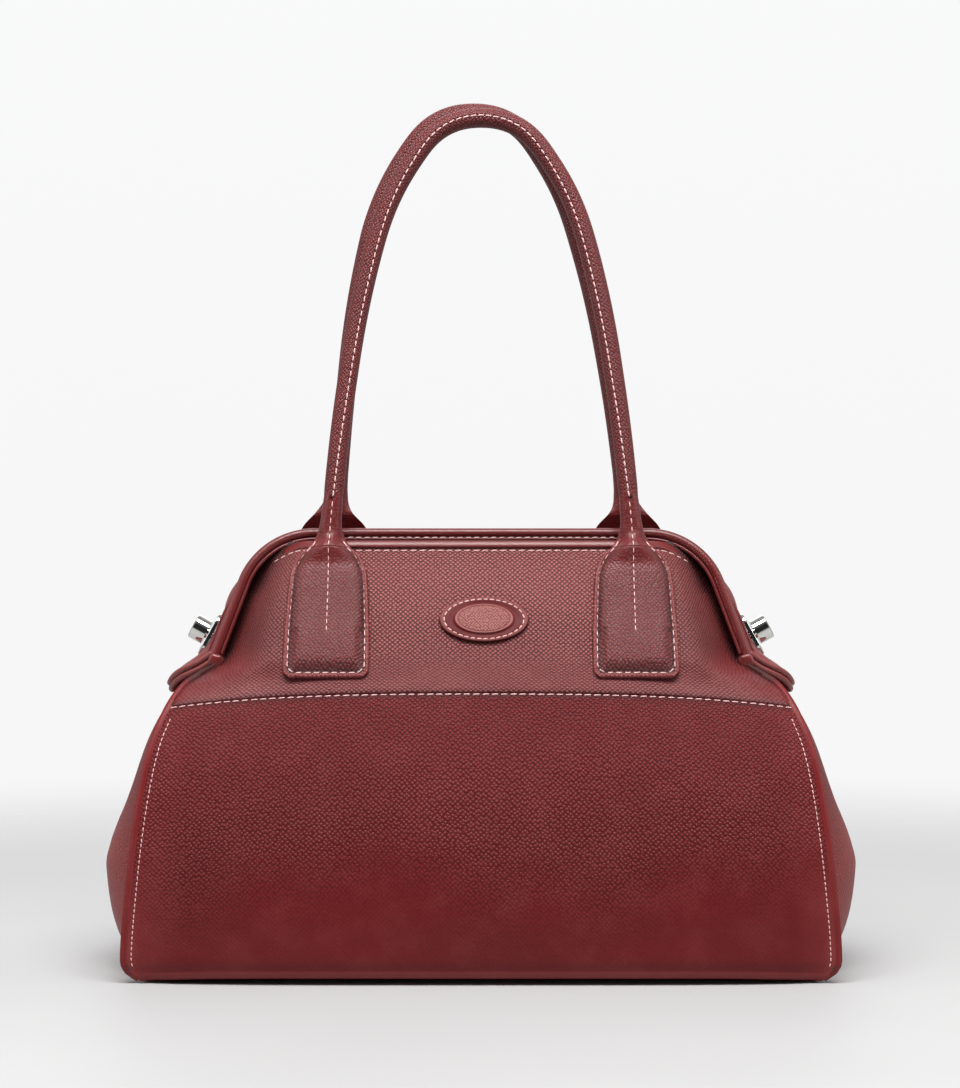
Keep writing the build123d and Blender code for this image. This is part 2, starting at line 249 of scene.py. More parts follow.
def tube(name, path, radius, material, looks, up=(0, 0, 1), around=20, caps=0.6):
    """Round bar along a path, with one radius or one per point. caps is how far its round ends stand out,
    as a share of the radius. The ring's angle 0 looks to the side, a quarter turn looks up."""
    radius = np.broadcast_to(np.asarray(radius, float), (len(path),))
    t, side, top = axes_along(path, up)
    cap = np.array([0.0, 0.35, 0.7, 0.92] if caps else [])
    reach = (caps * (1 - cap))[:, None]
    cap_scale = np.sqrt(1 - (1 - cap) ** 2)
    centres = np.concatenate([path[0] - t[0] * radius[0] * reach, path,
                              (path[-1] + t[-1] * radius[-1] * reach)[::-1]])
    scale = np.concatenate([cap_scale, np.ones(len(path)), cap_scale[::-1]])
    rows = len(centres)
    at = np.clip(np.arange(rows) - len(cap), 0, len(path) - 1)
    angle = np.linspace(0, 2 * math.pi, around, endpoint=False)
    ring = side[at, None] * np.cos(angle)[:, None] + top[at, None] * np.sin(angle)[:, None]
    verts = centres[:, None] + ring * (radius[at] * np.maximum(scale, 0.02))[:, None, None]
    uv = np.stack(np.broadcast_arrays(angle[None] * radius.max(), distance_along(centres)[:, None]), axis=2)
    faces = grid_faces(rows, around, wrap=True, caps=True)
    # the rings may face inward, depending on the path's direction
    a, b, c = verts[rows // 2, 0], verts[rows // 2, 1], verts[rows // 2 + 1, 0]
    if np.cross(b - a, c - a) @ (a - centres[rows // 2]) < 0:
        faces = [f[::-1] for f in faces]
    return make_piece(name, verts, faces, [material], uv, looks, turn=False)


def settle(obj, body=None, replaces=()):
    """Hides the CAD nodes that a piece stands for and, unless it bends, gives it its body."""
    if replaces:
        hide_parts(*replaces)
    if body:
        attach(obj, body)


# ---------------------------------------------------------------- materials
class Nodes:
    """Short names for the nodes that the materials here use."""

    def __init__(self, owner):
        owner.use_nodes = True
        self.owner = owner
        self.tree = owner.node_tree
        self.tree.nodes.clear()

    def put(self, socket, value):
        if isinstance(value, bpy.types.NodeSocket):
            self.tree.links.new(value, socket)
        else:
            socket.default_value = value

    def node(self, kind, inputs, **settings):
        """A node with its settings, and with its inputs by name or number."""
        n = self.tree.nodes.new("ShaderNode" + kind)
        for key, value in settings.items():
            setattr(n, key, value)
        for key, value in inputs.items():
            self.put(n.inputs[key], value)
        return n

    def math(self, op, a, b, clamp=False):
        return self.node("Math", {0: a, 1: b}, operation=op, use_clamp=clamp).outputs[0]

    def times(self, a, b, clamp=False):
        return self.math("MULTIPLY", a, b, clamp)

    def mix(self, factor, a, b):
        a, b = (c if isinstance(c, bpy.types.NodeSocket) else (*c, 1.0) for c in (a, b))
        return self.node("Mix", {0: factor, 6: a, 7: b}, data_type="RGBA").outputs[2]

    def range(self, value, a, b, c=0.0, d=1.0):
        inputs = {0: value, 1: a, 2: b, 3: c, 4: d}
        return self.node("MapRange", inputs, interpolation_type="SMOOTHSTEP").outputs[0]

    def uv(self):
        return self.node("UVMap", {}, uv_map="grain").outputs[0]

    def place(self, vector, scale=(1, 1, 1), rotation=0.0):
        inputs = {"Vector": vector, "Scale": scale, "Rotation": (0, 0, rotation)}
        return self.node("Mapping", inputs).outputs[0]

    def noise(self, vector, scale, detail=3.0, rough=0.55, output="Fac"):
        inputs = {"Vector": vector, "Scale": scale, "Detail": detail, "Roughness": rough}
        return self.node("TexNoise", inputs).outputs[output]

    def wave(self, vector, scale, distortion, direction):
        inputs = {"Vector": vector, "Scale": scale, "Distortion": distortion}
        return self.node("TexWave", inputs, bands_direction=direction).outputs["Fac"]

    def warp(self, vector, scale, amount):
        """Moves a coordinate by a smooth noise."""
        inputs = {0: self.noise(vector, scale, 2.0, output="Color"), 1: (amount, amount, 0), 2: vector}
        return self.node("VectorMath", inputs, operation="MULTIPLY_ADD").outputs[0]

    def looks(self):
        colour = self.node("Attribute", {}, attribute_name="looks").outputs["Color"]
        return self.node("SeparateColor", {0: colour}).outputs

    def bump(self, height, distance, strength=1.0, normal=None):
        inputs = {"Height": height, "Distance": distance, "Strength": strength}
        if normal is not None:
            inputs["Normal"] = normal
        return self.node("Bump", inputs).outputs[0]

    def surface(self, colour, rough, normal, **constants):
        """Closes the material with its shader; constants are sockets named with _ for a blank."""
        inputs = {"Base Color": colour, "Roughness": rough}
        if normal is not None:
            inputs["Normal"] = normal
        inputs.update({key.replace("_", " "): value for key, value in constants.items()})
        shader = self.node("BsdfPrincipled", inputs)
        self.node("OutputMaterial", {"Surface": shader.outputs["BSDF"]})
        return self.owner


def new_material(name):
    return Nodes(bpy.data.materials.new(name))


def srgb(*colour):
    """Linear colour of an 8-bit display colour."""
    shares = [c / 255.0 for c in colour]
    return tuple(c / 12.92 if c <= 0.04045 else ((c + 0.055) / 1.055) ** 2.4 for c in shares)


def leather(name, base, dark, light, grain, pitch, rough, spec, wander, warp=0.0005, top_highlight=0.30, valley_shade=0.72,
            patches=0.22, creases=0.0):
    """Dyed leather with rows of round pebbles. grain is the pebbles' depth and pitch their spacing, in mm.
    wander and warp make the rows uneven; the pebbles' tops get a painted highlight and the valleys between
    them painted shade."""
    k = new_material(name)
    uv = k.uv()
    strength, wear_and_sheen, shade = k.looks()
    bent = k.warp(uv, 45.0, warp)
    inputs = {"Vector": k.place(bent, rotation=math.pi / 4), "Scale": 1000.0 / pitch, "Randomness": wander}
    distance = k.node("TexVoronoi", inputs, voronoi_dimensions="2D").outputs["Distance"]
    pebble = k.range(distance, 0.16, 0.60, 1.0, 0.0)
    fine = k.noise(uv, 2600.0, 4.0, 0.6)
    broad = k.noise(uv, 14.0, 3.0, 0.5)
    patch = k.noise(uv, 55.0)
    raised = k.times(pebble, strength)
    valley = k.times(k.math("SUBTRACT", 1.0, pebble), strength, clamp=True)
    colour = k.mix(k.times(k.range(broad, 0.35, 0.68), patches), base, dark)
    colour = k.mix(k.times(k.range(patch, 0.4, 0.72), 0.07), colour, light)
    # painted shade between the pebbles, then a painted highlight on their tops
    colour = k.mix(k.times(valley, valley_shade), colour, dark)
    colour = k.mix(k.times(raised, top_highlight), colour, light)
    height = k.math("ADD", raised, k.times(fine, 0.10))
    if creases:
        lines = k.noise(k.place(bent, scale=(0.15, 1.6, 1)), 900.0, 3.0, 0.5)
        folds = k.times(k.range(lines, 0.50, 0.60), creases)
        # painted shade in the creases
        colour = k.mix(k.times(folds, 0.35), colour, dark)
        height = k.math("SUBTRACT", height, folds)
    # lighter where the leather is rubbed, and where a highlight is painted
    colour = k.mix(wear_and_sheen, colour, light)
    # the looks' third channel is painted shade
    colour = k.mix(shade, colour, tuple(c * 0.22 for c in dark))
    dull = k.math("ADD", k.range(broad, 0.3, 0.75, rough - 0.04, rough + 0.06), k.times(valley, 0.14))
    dull = k.math("ADD", dull, k.times(fine, 0.06))
    swells = k.bump(k.math("ADD", patch, broad), 0.0004, 0.35)
    return k.surface(colour, dull, k.bump(height, grain * MM, 1.0, swells), Specular_IOR_Level=spec)


def cut_edge(name, base, light):
    """Painted leather edge, a little rough, with lighter rubbed spots."""
    k = new_material(name)
    uv = k.uv()
    fine = k.noise(uv, 1200.0, 3.0, 0.6)
    colour = k.mix(k.range(k.noise(uv, 160.0, 4.0, 0.6), 0.42, 0.7), base, light)
    return k.surface(colour, k.range(fine, 0.3, 0.7, 0.38, 0.6), k.bump(fine, 0.00008, 0.8))


def thread(name, base, shade):
    """Twisted sewing thread."""
    k = new_material(name)
    uv = k.uv()
    twist = k.wave(uv, 700.0, 0.6, "DIAGONAL")
    spot = k.noise(uv, 220.0, 3.0, 0.6)
    colour = k.mix(k.times(twist, 0.35), base, shade)
    colour = k.mix(k.times(k.range(spot, 0.5, 0.8), 0.5), colour, shade)
    return k.surface(colour, k.range(spot, 0.3, 0.7, 0.55, 0.75), k.bump(twist, 0.00008, 0.7),
                     Sheen_Weight=0.25)


def woven(name, base, shade, spacing=0.7):
    """Plain weave lining cloth, with its thread spacing in mm."""
    k = new_material(name)
    uv = k.uv()
    scale = 1000.0 / spacing / 20.0 * math.pi
    height = k.times(k.wave(uv, scale, 0.3, "X"), k.wave(uv, scale, 0.3, "Y"))
    slub = k.noise(uv, 90.0, 4.0, 0.6)
    colour = k.mix(k.times(k.range(slub, 0.45, 0.75), 0.4), k.mix(height, shade, base), shade)
    return k.surface(colour, k.range(slub, 0.3, 0.7, 0.75, 0.9), k.bump(height, 0.00015, 0.8),
                     Sheen_Weight=0.2)


def metal(name, base, stain, rough, scratch=0.05):
    """Plated or plain metal with cloudy spots and fine scratches."""
    k = new_material(name)
    place = k.node("TexCoord", {}).outputs["Object"]
    cloud = k.noise(place, 180.0, 4.0, 0.6)
    fine = k.noise(k.place(place, scale=(1.0, 6.0, 1.0)), 900.0, 3.0, 0.6)
    colour = k.mix(k.range(cloud, 0.45, 0.8), base, stain)
    dull = k.math("ADD", k.range(cloud, 0.4, 0.8, rough, rough + 0.08), k.times(fine, scratch))
    return k.surface(colour, dull, k.bump(fine, 0.00001, 0.06), Metallic=1.0)


def moulded(name, base, stain, rough):
    """Moulded plastic or pressed board."""
    k = new_material(name)
    place = k.node("TexCoord", {}).outputs["Object"]
    cloud = k.noise(place, 120.0, 4.0, 0.6)
    fine = k.noise(place, 1800.0, 3.0, 0.6)
    colour = k.mix(k.range(cloud, 0.4, 0.75), base, stain)
    return k.surface(colour, k.range(cloud, 0.3, 0.8, rough, rough + 0.15), k.bump(fine, 0.00005, 0.6))


RED_LIGHT = srgb(176, 86, 84)
GRAINED = leather("grained_leather", srgb(98, 11, 15), srgb(58, 2, 5), RED_LIGHT, grain=0.55, pitch=1.75,
                  rough=0.42, spec=0.24, wander=0.42, warp=0.0012, top_highlight=0.08, valley_shade=0.88, patches=0.08)
YOKE = leather("yoke_leather", srgb(90, 9, 13), srgb(52, 2, 5), srgb(194, 116, 114), grain=0.55, pitch=1.75,
               rough=0.38, spec=0.34, wander=0.20, top_highlight=0.38, valley_shade=0.95, patches=0.10)
TRIM = leather("trim_leather", srgb(88, 9, 13), srgb(68, 2, 7), srgb(150, 70, 66), grain=0.07, pitch=0.9,
               rough=0.27, spec=0.52, wander=0.9, top_highlight=0.05)
TAB = leather("tab_leather", srgb(92, 8, 12), srgb(50, 2, 5), RED_LIGHT, grain=0.28, pitch=1.5,
              rough=0.34, spec=0.42, wander=0.40, warp=0.0009, top_highlight=0.10, valley_shade=0.8, creases=0.25)
BADGE = leather("badge_leather", srgb(88, 11, 14), srgb(60, 3, 6), srgb(196, 136, 130), grain=0.22, pitch=1.1,
                rough=0.52, spec=0.18, wander=0.5, top_highlight=0.40, valley_shade=0.7)
EDGE = cut_edge("edge_paint", srgb(74, 20, 18), srgb(122, 64, 50))
THREAD = thread("thread", srgb(228, 190, 186), srgb(176, 116, 116))
LINING = woven("lining_cloth", srgb(92, 44, 40), srgb(58, 24, 24))
CHROME = metal("chrome", (0.66, 0.66, 0.63), (0.58, 0.57, 0.54), 0.035, scratch=0.02)
STEEL = metal("steel", (0.52, 0.52, 0.52), (0.36, 0.35, 0.34), 0.28)
FOOT = moulded("foot_plastic", (0.012, 0.009, 0.009), (0.03, 0.024, 0.022), 0.42)
BOARD = moulded("board", (0.03, 0.025, 0.024), (0.06, 0.05, 0.045), 0.6)

# one stitch: places along it as shares of its length, and its thickness and dip into the leather there
STITCH_ALONG = np.array([-0.5, -0.47, -0.36, -0.15, 0.15, 0.36, 0.47, 0.5])
STITCH_THICK = np.array([0.15, 0.62, 0.92, 1.0, 1.0, 0.92, 0.62, 0.15])
STITCH_DIP = np.array([1.5, 0.9, 0.25, 0.0, 0.0, 0.25, 0.9, 1.5])
STITCH_CORNERS = 8


def stitches(name, path, normal, pitch=4.5, length=3.2, radius=0.30, sink=0.15, slant=0.06):
    """A row of thread stitches that lie on a surface, with the surface's normal for each path point."""
    normal = np.broadcast_to(np.asarray(normal, float), path.shape)
    run = distance_along(path)
    count = max(1, int(run[-1] / pitch))
    gap = run[-1] / count
    angle = np.linspace(0, 2 * math.pi, STITCH_CORNERS, endpoint=False)
    per_stitch = len(STITCH_ALONG) * STITCH_CORNERS
    verts, faces = [], []
    for i in range(count):
        middle = (i + 0.5) * gap + rng.uniform(-0.12, 0.12)
        size = length * rng.uniform(0.94, 1.06)
        tilt = slant + rng.uniform(-0.03, 0.03)
        where = np.clip(middle + STITCH_ALONG * size, 0, run[-1])
        p = at_distance(path, run, where)
        n = unit(at_distance(normal, run, where))
        across = unit(np.cross(n, unit(p[-1] - p[0])))
        lift = radius * 0.55 - sink - STITCH_DIP * radius * 0.6
        p = p + across * (STITCH_ALONG * size * tilt)[:, None] + n * lift[:, None]
        thick = (radius * STITCH_THICK)[:, None, None]
        verts.append(p[:, None] + (across[:, None] * np.cos(angle)[:, None]
                                   + n[:, None] * np.sin(angle)[:, None] * 0.85) * thick)
        faces += grid_faces(len(STITCH_ALONG), STITCH_CORNERS, wrap=True, base=i * per_stitch, caps=True)
    verts = np.concatenate(verts).reshape(-1, 3)
    return make_piece(name, verts, faces, [THREAD], verts[:, [0, 2]], (1.0, 0.0, 0.0))


# ---------------------------------------------------------------- body shape
# by height: half width, depth of the middle and of the edges, and how late the face falls between them
WIDTH = Profile([(0, 165.0), (2.5, 169.0), (5, 171.6), (8, 173.2), (12, 173.9), (20, 173.6), (41, 171.8),
                 (65, 169.3), (94, 165.4), (115, 161.1), (129, 155.9), (136, 152.4), (141, 149.0),
                 (144.5, 145.6), (147.5, 140.8), (150.5, 136.0), (153.5, 131.8), (158, 129.8), (166, 127.6),
                 (175, 124.8), (190, 119.4), (200, 115.0), (207, 110.0), (212, 101.0), (216, 90.0)])
MIDDLE = Profile([(2.5, 72.5), (6, 74.2), (10, 75.2), (20, 76.0), (35, 76.9), (60, 77.0), (80, 75.6),
                  (100, 72.0), (120, 66.4), (141, 58.0), (157, 49.6), (170, 42.6), (185, 34.4), (200, 26.8),
                  (212, 20.2), (217, 17.6)])
EDGE_DEPTH = Profile([(2.5, 64.0), (6, 65.6), (12, 66.6), (60, 67.4), (100, 62.0), (129, 51.5), (141, 42.0),
                      (147, 34.5), (151, 28.5), (155, 22.5), (159, 18.0), (175, 11.0), (200, 7.0),
                      (212, 11.0), (217, 14.0)])
BULGE_POWER = Profile([(0, 4.6), (100, 4.4), (135, 4.6), (150, 5.4), (175, 6.5), (200, 7.0), (217, 8.0)])
SEAM_TOP, SEAM_DROP, SEAM_WIDTH = 140.3, 7.4, 154.0
YOKE_TOP = 214.0
FLANGE = 4.6                # from the body's edge to its side stitches
EDGE_STEP = 1.4             # the gusset leather shows this far beyond the panel
PANEL_T = 2.2
TURN_Z, TURN_R = 5.4, 4.9   # where the panel turns under, and how tightly
PANEL_COLUMNS, YOKE_COLUMNS = 110, 100


def seam_z(x):
    """Height of the long seam between the yoke and the lower panel."""
    return SEAM_TOP - SEAM_DROP * np.abs(np.asarray(x) / SEAM_WIDTH) ** 3


def front_depth(x, z):
    """How far in front of the middle plane the leather's face is; the rear is its mirror image."""
    x, z = np.asarray(x, float), np.asarray(z, float)
    u = np.clip(np.abs(x) / WIDTH(z), 0, 1)
    inset = WIDTH(z) - np.abs(x)
    round_fall = 1 - u ** BULGE_POWER(z)
    # the yoke is flat in the middle and turns back sharply behind the frame's arms
    sharp_fall = 1 - smooth(0.80, 0.995, u)
    share = smooth(142, 156, z)
    edge = EDGE_DEPTH(z)
    depth = edge + (MIDDLE(z) - edge) * (round_fall * (1 - share) + sharp_fall * share)
    # the stiff side seam leaves a shallow valley beside it
    depth = depth + (groove(inset, 0.7, 4.0) - groove(inset - 13.0, 0.9, 5.0)) * smooth(135, 115, z)
    # slow, uneven swells of a used bag
    swell = 0.7 * np.sin(x / 37.0 + 1.3) * np.sin(z / 29.0 + 0.6) + 0.5 * np.sin(x / 19.0 + z / 31.0)
    return depth + swell * smooth(0, 25, inset) * smooth(4, 30, z) * smooth(206, 180, z) * 0.8


def surface(x, z, side, lift=0.0):
    """Points on the leather's face, or above it."""
    x, z = np.broadcast_arrays(np.asarray(x, float), np.asarray(z, float))
    return np.stack([x, side * (front_depth(x, z) + lift), z], axis=-1)


def surface_normal(x, z, side, e=0.5):
    x, z = np.broadcast_arrays(np.asarray(x, float), np.asarray(z, float))
    dx = (front_depth(x + e, z) - front_depth(x - e, z)) / (2 * e)
    dz = (front_depth(x, z + e) - front_depth(x, z - e)) / (2 * e)
    return unit(np.stack([-dx, np.full(x.shape, float(side)), -dz], axis=-1))


def across(count, half, border=8, border_width=12.0):
    """Column positions from -half to half, closer together near the borders."""
    left = np.linspace(0, 1, border, endpoint=False) * border_width - half
    return np.concatenate([left, np.linspace(-1, 1, count) * (half - border_width), -left[::-1]])


FRAME_TOP_Z, FRAME_TOP_Y = 218.5, 9.0
FRAME_END_Z, FRAME_END_Y, FRAME_END_X = 157.3, 24.0, 133.4
FRAME_CORNER_X, FRAME_CORNER_R = 111.2, 38.0
INSET_GROWTH = 42.0         # height over which a side ridge moves out from under the roll


def frame_line(inset=0.0, forward=0.0, side=FRONT, step=2.0, shorten=0.0, full_below=None):
    """Line along the U of the frame; inset moves it towards the inside of the U, forward out of its plane.
    full_below: how far below the top bar the inset is whole; above that it grows from nothing."""
    drop = math.hypot(FRAME_END_Y - FRAME_TOP_Y, FRAME_TOP_Z - FRAME_END_Z)
    points = [(-FRAME_END_X, -drop), (-FRAME_CORNER_X, 0), (FRAME_CORNER_X, 0), (FRAME_END_X, -drop)]
    flat = resample(fillet_path(points, [FRAME_CORNER_R] * 2), step)
    t = tangents(flat)
    share = 1.0 if full_below is None else smooth(INSET_GROWTH - full_below, -full_below, flat[:, 1])[:, None]
    flat = flat + np.stack([t[:, 1], -t[:, 0]], axis=1) * inset * share
    if shorten:
        run = distance_along(flat)
        flat = flat[(run >= shorten) & (run <= run[-1] - shorten)]
    down = unit(np.array([0.0, FRAME_END_Y - FRAME_TOP_Y, FRAME_END_Z - FRAME_TOP_Z]))
    out = np.array([0.0, -down[2], down[1]])
    line = np.outer(flat[:, 0], (1, 0, 0)) - np.outer(flat[:, 1], down) + out * forward
    return (line + (0.0, FRAME_TOP_Y, FRAME_TOP_Z)) * (1, side, 1)


ARM = frame_line(side=REAR, step=1.0)
ARM = ARM[ARM[:, 0] > 60]
ARM = ARM[np.argsort(ARM[:, 2])]


# ---------------------------------------------------------------- lower leather
def wrap_looks(x, z):
    """Grain fades out towards the base; the corners are rubbed. Painted shade lies just below the seam and
    grows towards the base.
    """
    inset = WIDTH(z) - np.abs(x)
    grain = smooth(16, 78, z + 9 * np.sin(x / 31.0) + 4 * np.sin(x / 11.0 + 2)) * 0.50 + 0.14
    grain = (grain + 0.16 * smooth(112, 138, z)) * (0.82 + 0.18 * smooth(8, 26, inset))
    wear_and_sheen = 0.18 * smooth(9, 2, inset) * smooth(60, 8, z)
    wear_and_sheen = wear_and_sheen + 0.02 * smooth(50, 10, z) + 0.08 * smooth(24, 8, inset) * smooth(90, 40, z)
    # painted shade under the seam's edge and towards the base
    dark = groove(z - seam_z(x) + 1.0, 0.55, 1.0) * (inset > 3) + 0.10 * smooth(60, 18, z)
    return np.stack([grain, np.clip(wear_and_sheen, 0, 0.6), np.clip(dark, 0, 0.8)], axis=-1)


def lower_panel(side):
    """One lower panel, from the seam down to where it turns under."""
    grid, looks = [], []
    for v in np.concatenate([[0, 0.004, 0.008, 0.014, 0.02, 0.03], np.linspace(0.045, 0.9, 60),
                             np.linspace(0.91, 1.0, 8)]):
        z0 = SEAM_TOP * (1 - v) + TURN_Z * v
        x = across(PANEL_COLUMNS, WIDTH(z0))
        z = seam_z(x) * (1 - v) + TURN_Z * v
        # the columns follow the real edge at their own height
        x = x / WIDTH(z0) * (WIDTH(z) - EDGE_STEP * smooth(134, 124, z))
        p = surface(x, z, side)
        inset = WIDTH(z) - np.abs(x)
        cut = groove(inset - FLANGE, 0.5, 0.7) * smooth(133, 126, z)
        cut = cut + 0.7 * smooth(EDGE_STEP + 1.1, EDGE_STEP, inset) ** 2
        p[:, 1] -= side * (cut + groove(z - seam_z(x), 0.7, 0.8))
        grid.append(p)
        looks.append(wrap_looks(x, z))
    return np.array(grid), np.array(looks)


def half_base(side):
    """The turn under one lower edge and half of the base, ending at the middle."""
    x_low = across(PANEL_COLUMNS, WIDTH(TURN_Z))
    share = x_low / WIDTH(TURN_Z) * (1 - EDGE_STEP / WIDTH(TURN_Z))
    level = np.ones(len(x_low))
    grid, looks = [], []
    for a in np.linspace(0.15, 1.0, 6) * math.pi / 2:
        z = TURN_Z - TURN_R * math.sin(a)
        x = share * WIDTH(z)
        y = front_depth(x, TURN_Z) - TURN_R * (1 - math.cos(a))
        grid.append(np.stack([x, side * y, z * level], axis=1))
        # lighter on the turn, with a little painted shade
        looks.append(np.outer(level, (0.05, 0.22, 0.1)))
    floor = TURN_Z - TURN_R
    y_start = front_depth(x_low, TURN_Z) - TURN_R
    for t in np.linspace(0.12, 1.0, 14):
        z = floor + math.sin(math.pi / 2 * t) * (1 - share ** 6)
        grid.append(np.stack([share * WIDTH(floor), side * y_start * (1 - t), z], axis=1))
        # more painted shade under the base
        looks.append(np.outer(level, (0.05, 0.12, 0.2)))
    return np.array(grid), np.array(looks)


def make_wrap():
    """Front panel, base and rear panel in one."""
    parts = [lower_panel(FRONT), half_base(FRONT), half_base(REAR), lower_panel(REAR)]
    grid, looks = (np.concatenate([a, b, c[:-1][::-1], d[::-1]]) for a, b, c, d in zip(*parts))
    # the panel's lower edge lifts a little between its corners
    grid[..., 2] += 2.4 * (1 - (np.abs(grid[..., 0]) / 166.0).clip(0, 1) ** 6) * smooth(26, 2, grid[..., 2])
    outward = (grid - (0, 0, 70)) * (0, 1, 1)
    obj = shell("leather_wrap", grid, PANEL_T, [GRAINED, LINING, EDGE], outward, looks)
    settle(obj, "bag_body", ["body_wrap"])


# half length of the bag at its middle plane, by height
GUSSET_CROWN = Profile([(2.5, 171.0), (10, 178.0), (21, 184.0), (31, 187.2), (42, 189.2), (52, 190.0),
                        (62, 187.6), (72, 184.0), (82, 180.0), (92.6, 176.4), (103, 173.0), (113, 169.2),
                        (123, 164.4), (133, 158.6), (139, 154.2), (146, 148.4), (152, 142.6), (158, 137.6)])


def gusset_row(z):
    """One level of the right gusset, from its front flange round the bulge to its rear flange."""
    w, e, crown = float(WIDTH(z)), float(front_depth(WIDTH(z), z)), float(GUSSET_CROWN(z))
    x_in = w - 1.0 - FLANGE * float(smooth(138, 128, z))
    y_in = e - PANEL_T - 1.6 - float(smooth(138, 124, z))
    s = np.linspace(-1, 1, 41)
    crease = 0.4 * np.sin(z / 9.0) * groove(s, 1.0, 0.35) * smooth(10, 40, z) * smooth(140, 110, z)
    arc = x_in - 0.6 + (crown - x_in + 0.6) * (1 - np.abs(s) ** 2.3) + crease
    w = w - 2.4 * float(smooth(8.0, 2.4, z))
    flange = np.array([(w + 0.1, e - 1.5), (w - 0.6, e - 1.2), (w - 2.2, e - PANEL_T - 0.1),
                       (x_in + 0.9, e - PANEL_T - 0.5), (x_in + 0.1, e - PANEL_T - 1.2)])
    line = np.concatenate([flange * (1, -1), np.stack([arc, s * (y_in - 2.0)], axis=1), flange[::-1]])
    # painted shade in the fold beside each flange and, at the top, under the hem; the leather is rubbed on
    # the bulge and smooth on the flanges
    place = np.arange(len(line))
    fold = np.minimum(np.abs(place - 4.5), np.abs(len(line) - 5.5 - place))
    dark = groove(fold, 0.6, 1.6) + 0.8 * smooth(141, 147, z) * (np.abs(line[:, 1]) > y_in - 3)
    wear_and_sheen = 0.22 * smooth(150, 188, line[:, 0]) * groove(z - 52, 1.0, 30.0) + 0.14
    wear_and_sheen[[0, -1]] = 0.12
    wear_and_sheen[[1, -2]] = 0.06
    grain = np.full(len(line), 0.75 * float(smooth(16, 60, z)) + 0.15)
    grain[[0, 1, 2, 3, -4, -3, -2, -1]] = 0.03
    return np.insert(line, 2, z, axis=1), np.stack([grain, wear_and_sheen, np.clip(dark, 0, 0.9)], axis=1)


def make_gusset(hand):
    rows = [gusset_row(z) for z in np.concatenate([[2.4, 4, 6], np.linspace(9, 157, 62)])]
    grid, looks = (np.array(part) for part in zip(*rows))
    obj = shell(f"leather_gusset_{HANDS[hand]}", grid * (hand, 1, 1), PANEL_T - 0.2, [GRAINED, LINING, EDGE],
                (hand, 0, 0), looks, rim=0.3)
    # the flange shows its inner side beyond the panel, so that side isn't cloth there
    for face in obj.data.polygons:
        middle = face.center / MM
        if face.material_index == 1 and abs(middle.x) > WIDTH(middle.z) - 2.6:
            face.material_index = 0
    settle(obj, "bag_body", [f"{HANDS[hand]}_gusset"])


def bend_with_frame(obj):
    """Bakes the piece's transform into its mesh; the yoke leather's bend from the sewn seam up to the stiff
    frame is not made here.
    """
    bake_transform(obj)


def yoke_looks(x, z):
    """Strong grain in the middle, smoother towards the frame's arms. Painted shade lies behind the arms,
    along the seam, under the hem and towards the sides; a painted highlight band lies across the upper yoke.
    """
    inset, far = WIDTH(z) - np.abs(x), np.abs(x)
    grain = (0.62 + 0.38 * smooth(142, 160, z)) * (1 - 0.30 * smooth(175, 148, z))
    grain = grain * (0.62 + 0.38 * smooth(3, 26, inset)) * (1 - 0.25 * smooth(50, 115, far))
    # painted shade behind the frame's arms, along the seam, under the hem and towards the sides
    dark = 0.75 * smooth(8, 2, inset) * smooth(150, 160, z) + 0.6 * smooth(14, 5, inset) * smooth(184, 194, z)
    dark = dark + groove(z - seam_z(x) - 0.6, 0.5, 0.9) + 0.9 * smooth(5, 1.5, inset) * smooth(141, 146, z)
    dark = dark + 0.20 * smooth(62, 108, far) * smooth(150, 166, z)
    # the second channel is a painted highlight band where the yoke slopes up to the light
    return np.stack([grain, groove(z - 195, 0.10, 18.0), np.clip(dark, 0, 0.85)], axis=-1)


def make_yoke(side):
    grid, looks = [], []
    for v in np.concatenate([[0, 0.01, 0.02, 0.04], np.linspace(0.07, 1, 44)]):
        z0 = SEAM_TOP * (1 - v) + YOKE_TOP * v
        x = across(YOKE_COLUMNS, WIDTH(z0), border=10, border_width=34.0)
        share = x / WIDTH(z0)
        # the row follows the curved seam, and its width follows its height
        for _ in range(3):
            z = seam_z(x) * (1 - v) + YOKE_TOP * v
            x = share * WIDTH(z)
        p = surface(x, z, side)
        top_cut = groove(z - 209.6, 0.35, 0.8) * (np.abs(x) < 104)
        p[:, 1] -= side * (groove(z - seam_z(x), 0.55, 0.7) + top_cut)
        grid.append(p)
        looks.append(yoke_looks(x, z))
    # the edge takes the yoke leather too, so that it carries the painted shade under the hem
    obj = shell(f"leather_yoke_{SIDES[side]}", np.array(grid), PANEL_T, [YOKE, LINING, YOKE], (0, side, 0),
                np.array(looks), rim=0.3)
    settle(obj, None, [f"{SIDES[side]}_yoke"])
    bend_with_frame(obj)


def body_stitches(side):
    """The long seam, the two side seams and the line along the yoke's top."""
    x = np.linspace(1.0 - SEAM_WIDTH, SEAM_WIDTH - 1.0, 260)
    z = seam_z(x) - 0.5
    obj = stitches(f"seam_stitches_{SIDES[side]}", surface(x, z, side, -0.25), surface_normal(x, z, side))
    settle(obj, "bag_body")
    for hand in HANDS:
        z = np.linspace(128.0, 8.0, 160)
        x = hand * (WIDTH(z) - FLANGE)
        obj = stitches(f"edge_stitches_{SIDES[side]}_{HANDS[hand]}", surface(x, z, side, -0.3),
                       surface_normal(x, z, side), pitch=2.6, length=1.9, radius=0.25)
        settle(obj, "bag_body")
    x = np.linspace(-105.0, 105.0, 200)
    z = 209.8 - 8.0 * smooth(88, 112, np.abs(x)) ** 1.2
    obj = stitches(f"top_stitches_{SIDES[side]}", surface(x, z, side, -0.1), surface_normal(x, z, side))
    settle(obj)
    bend_with_frame(obj)


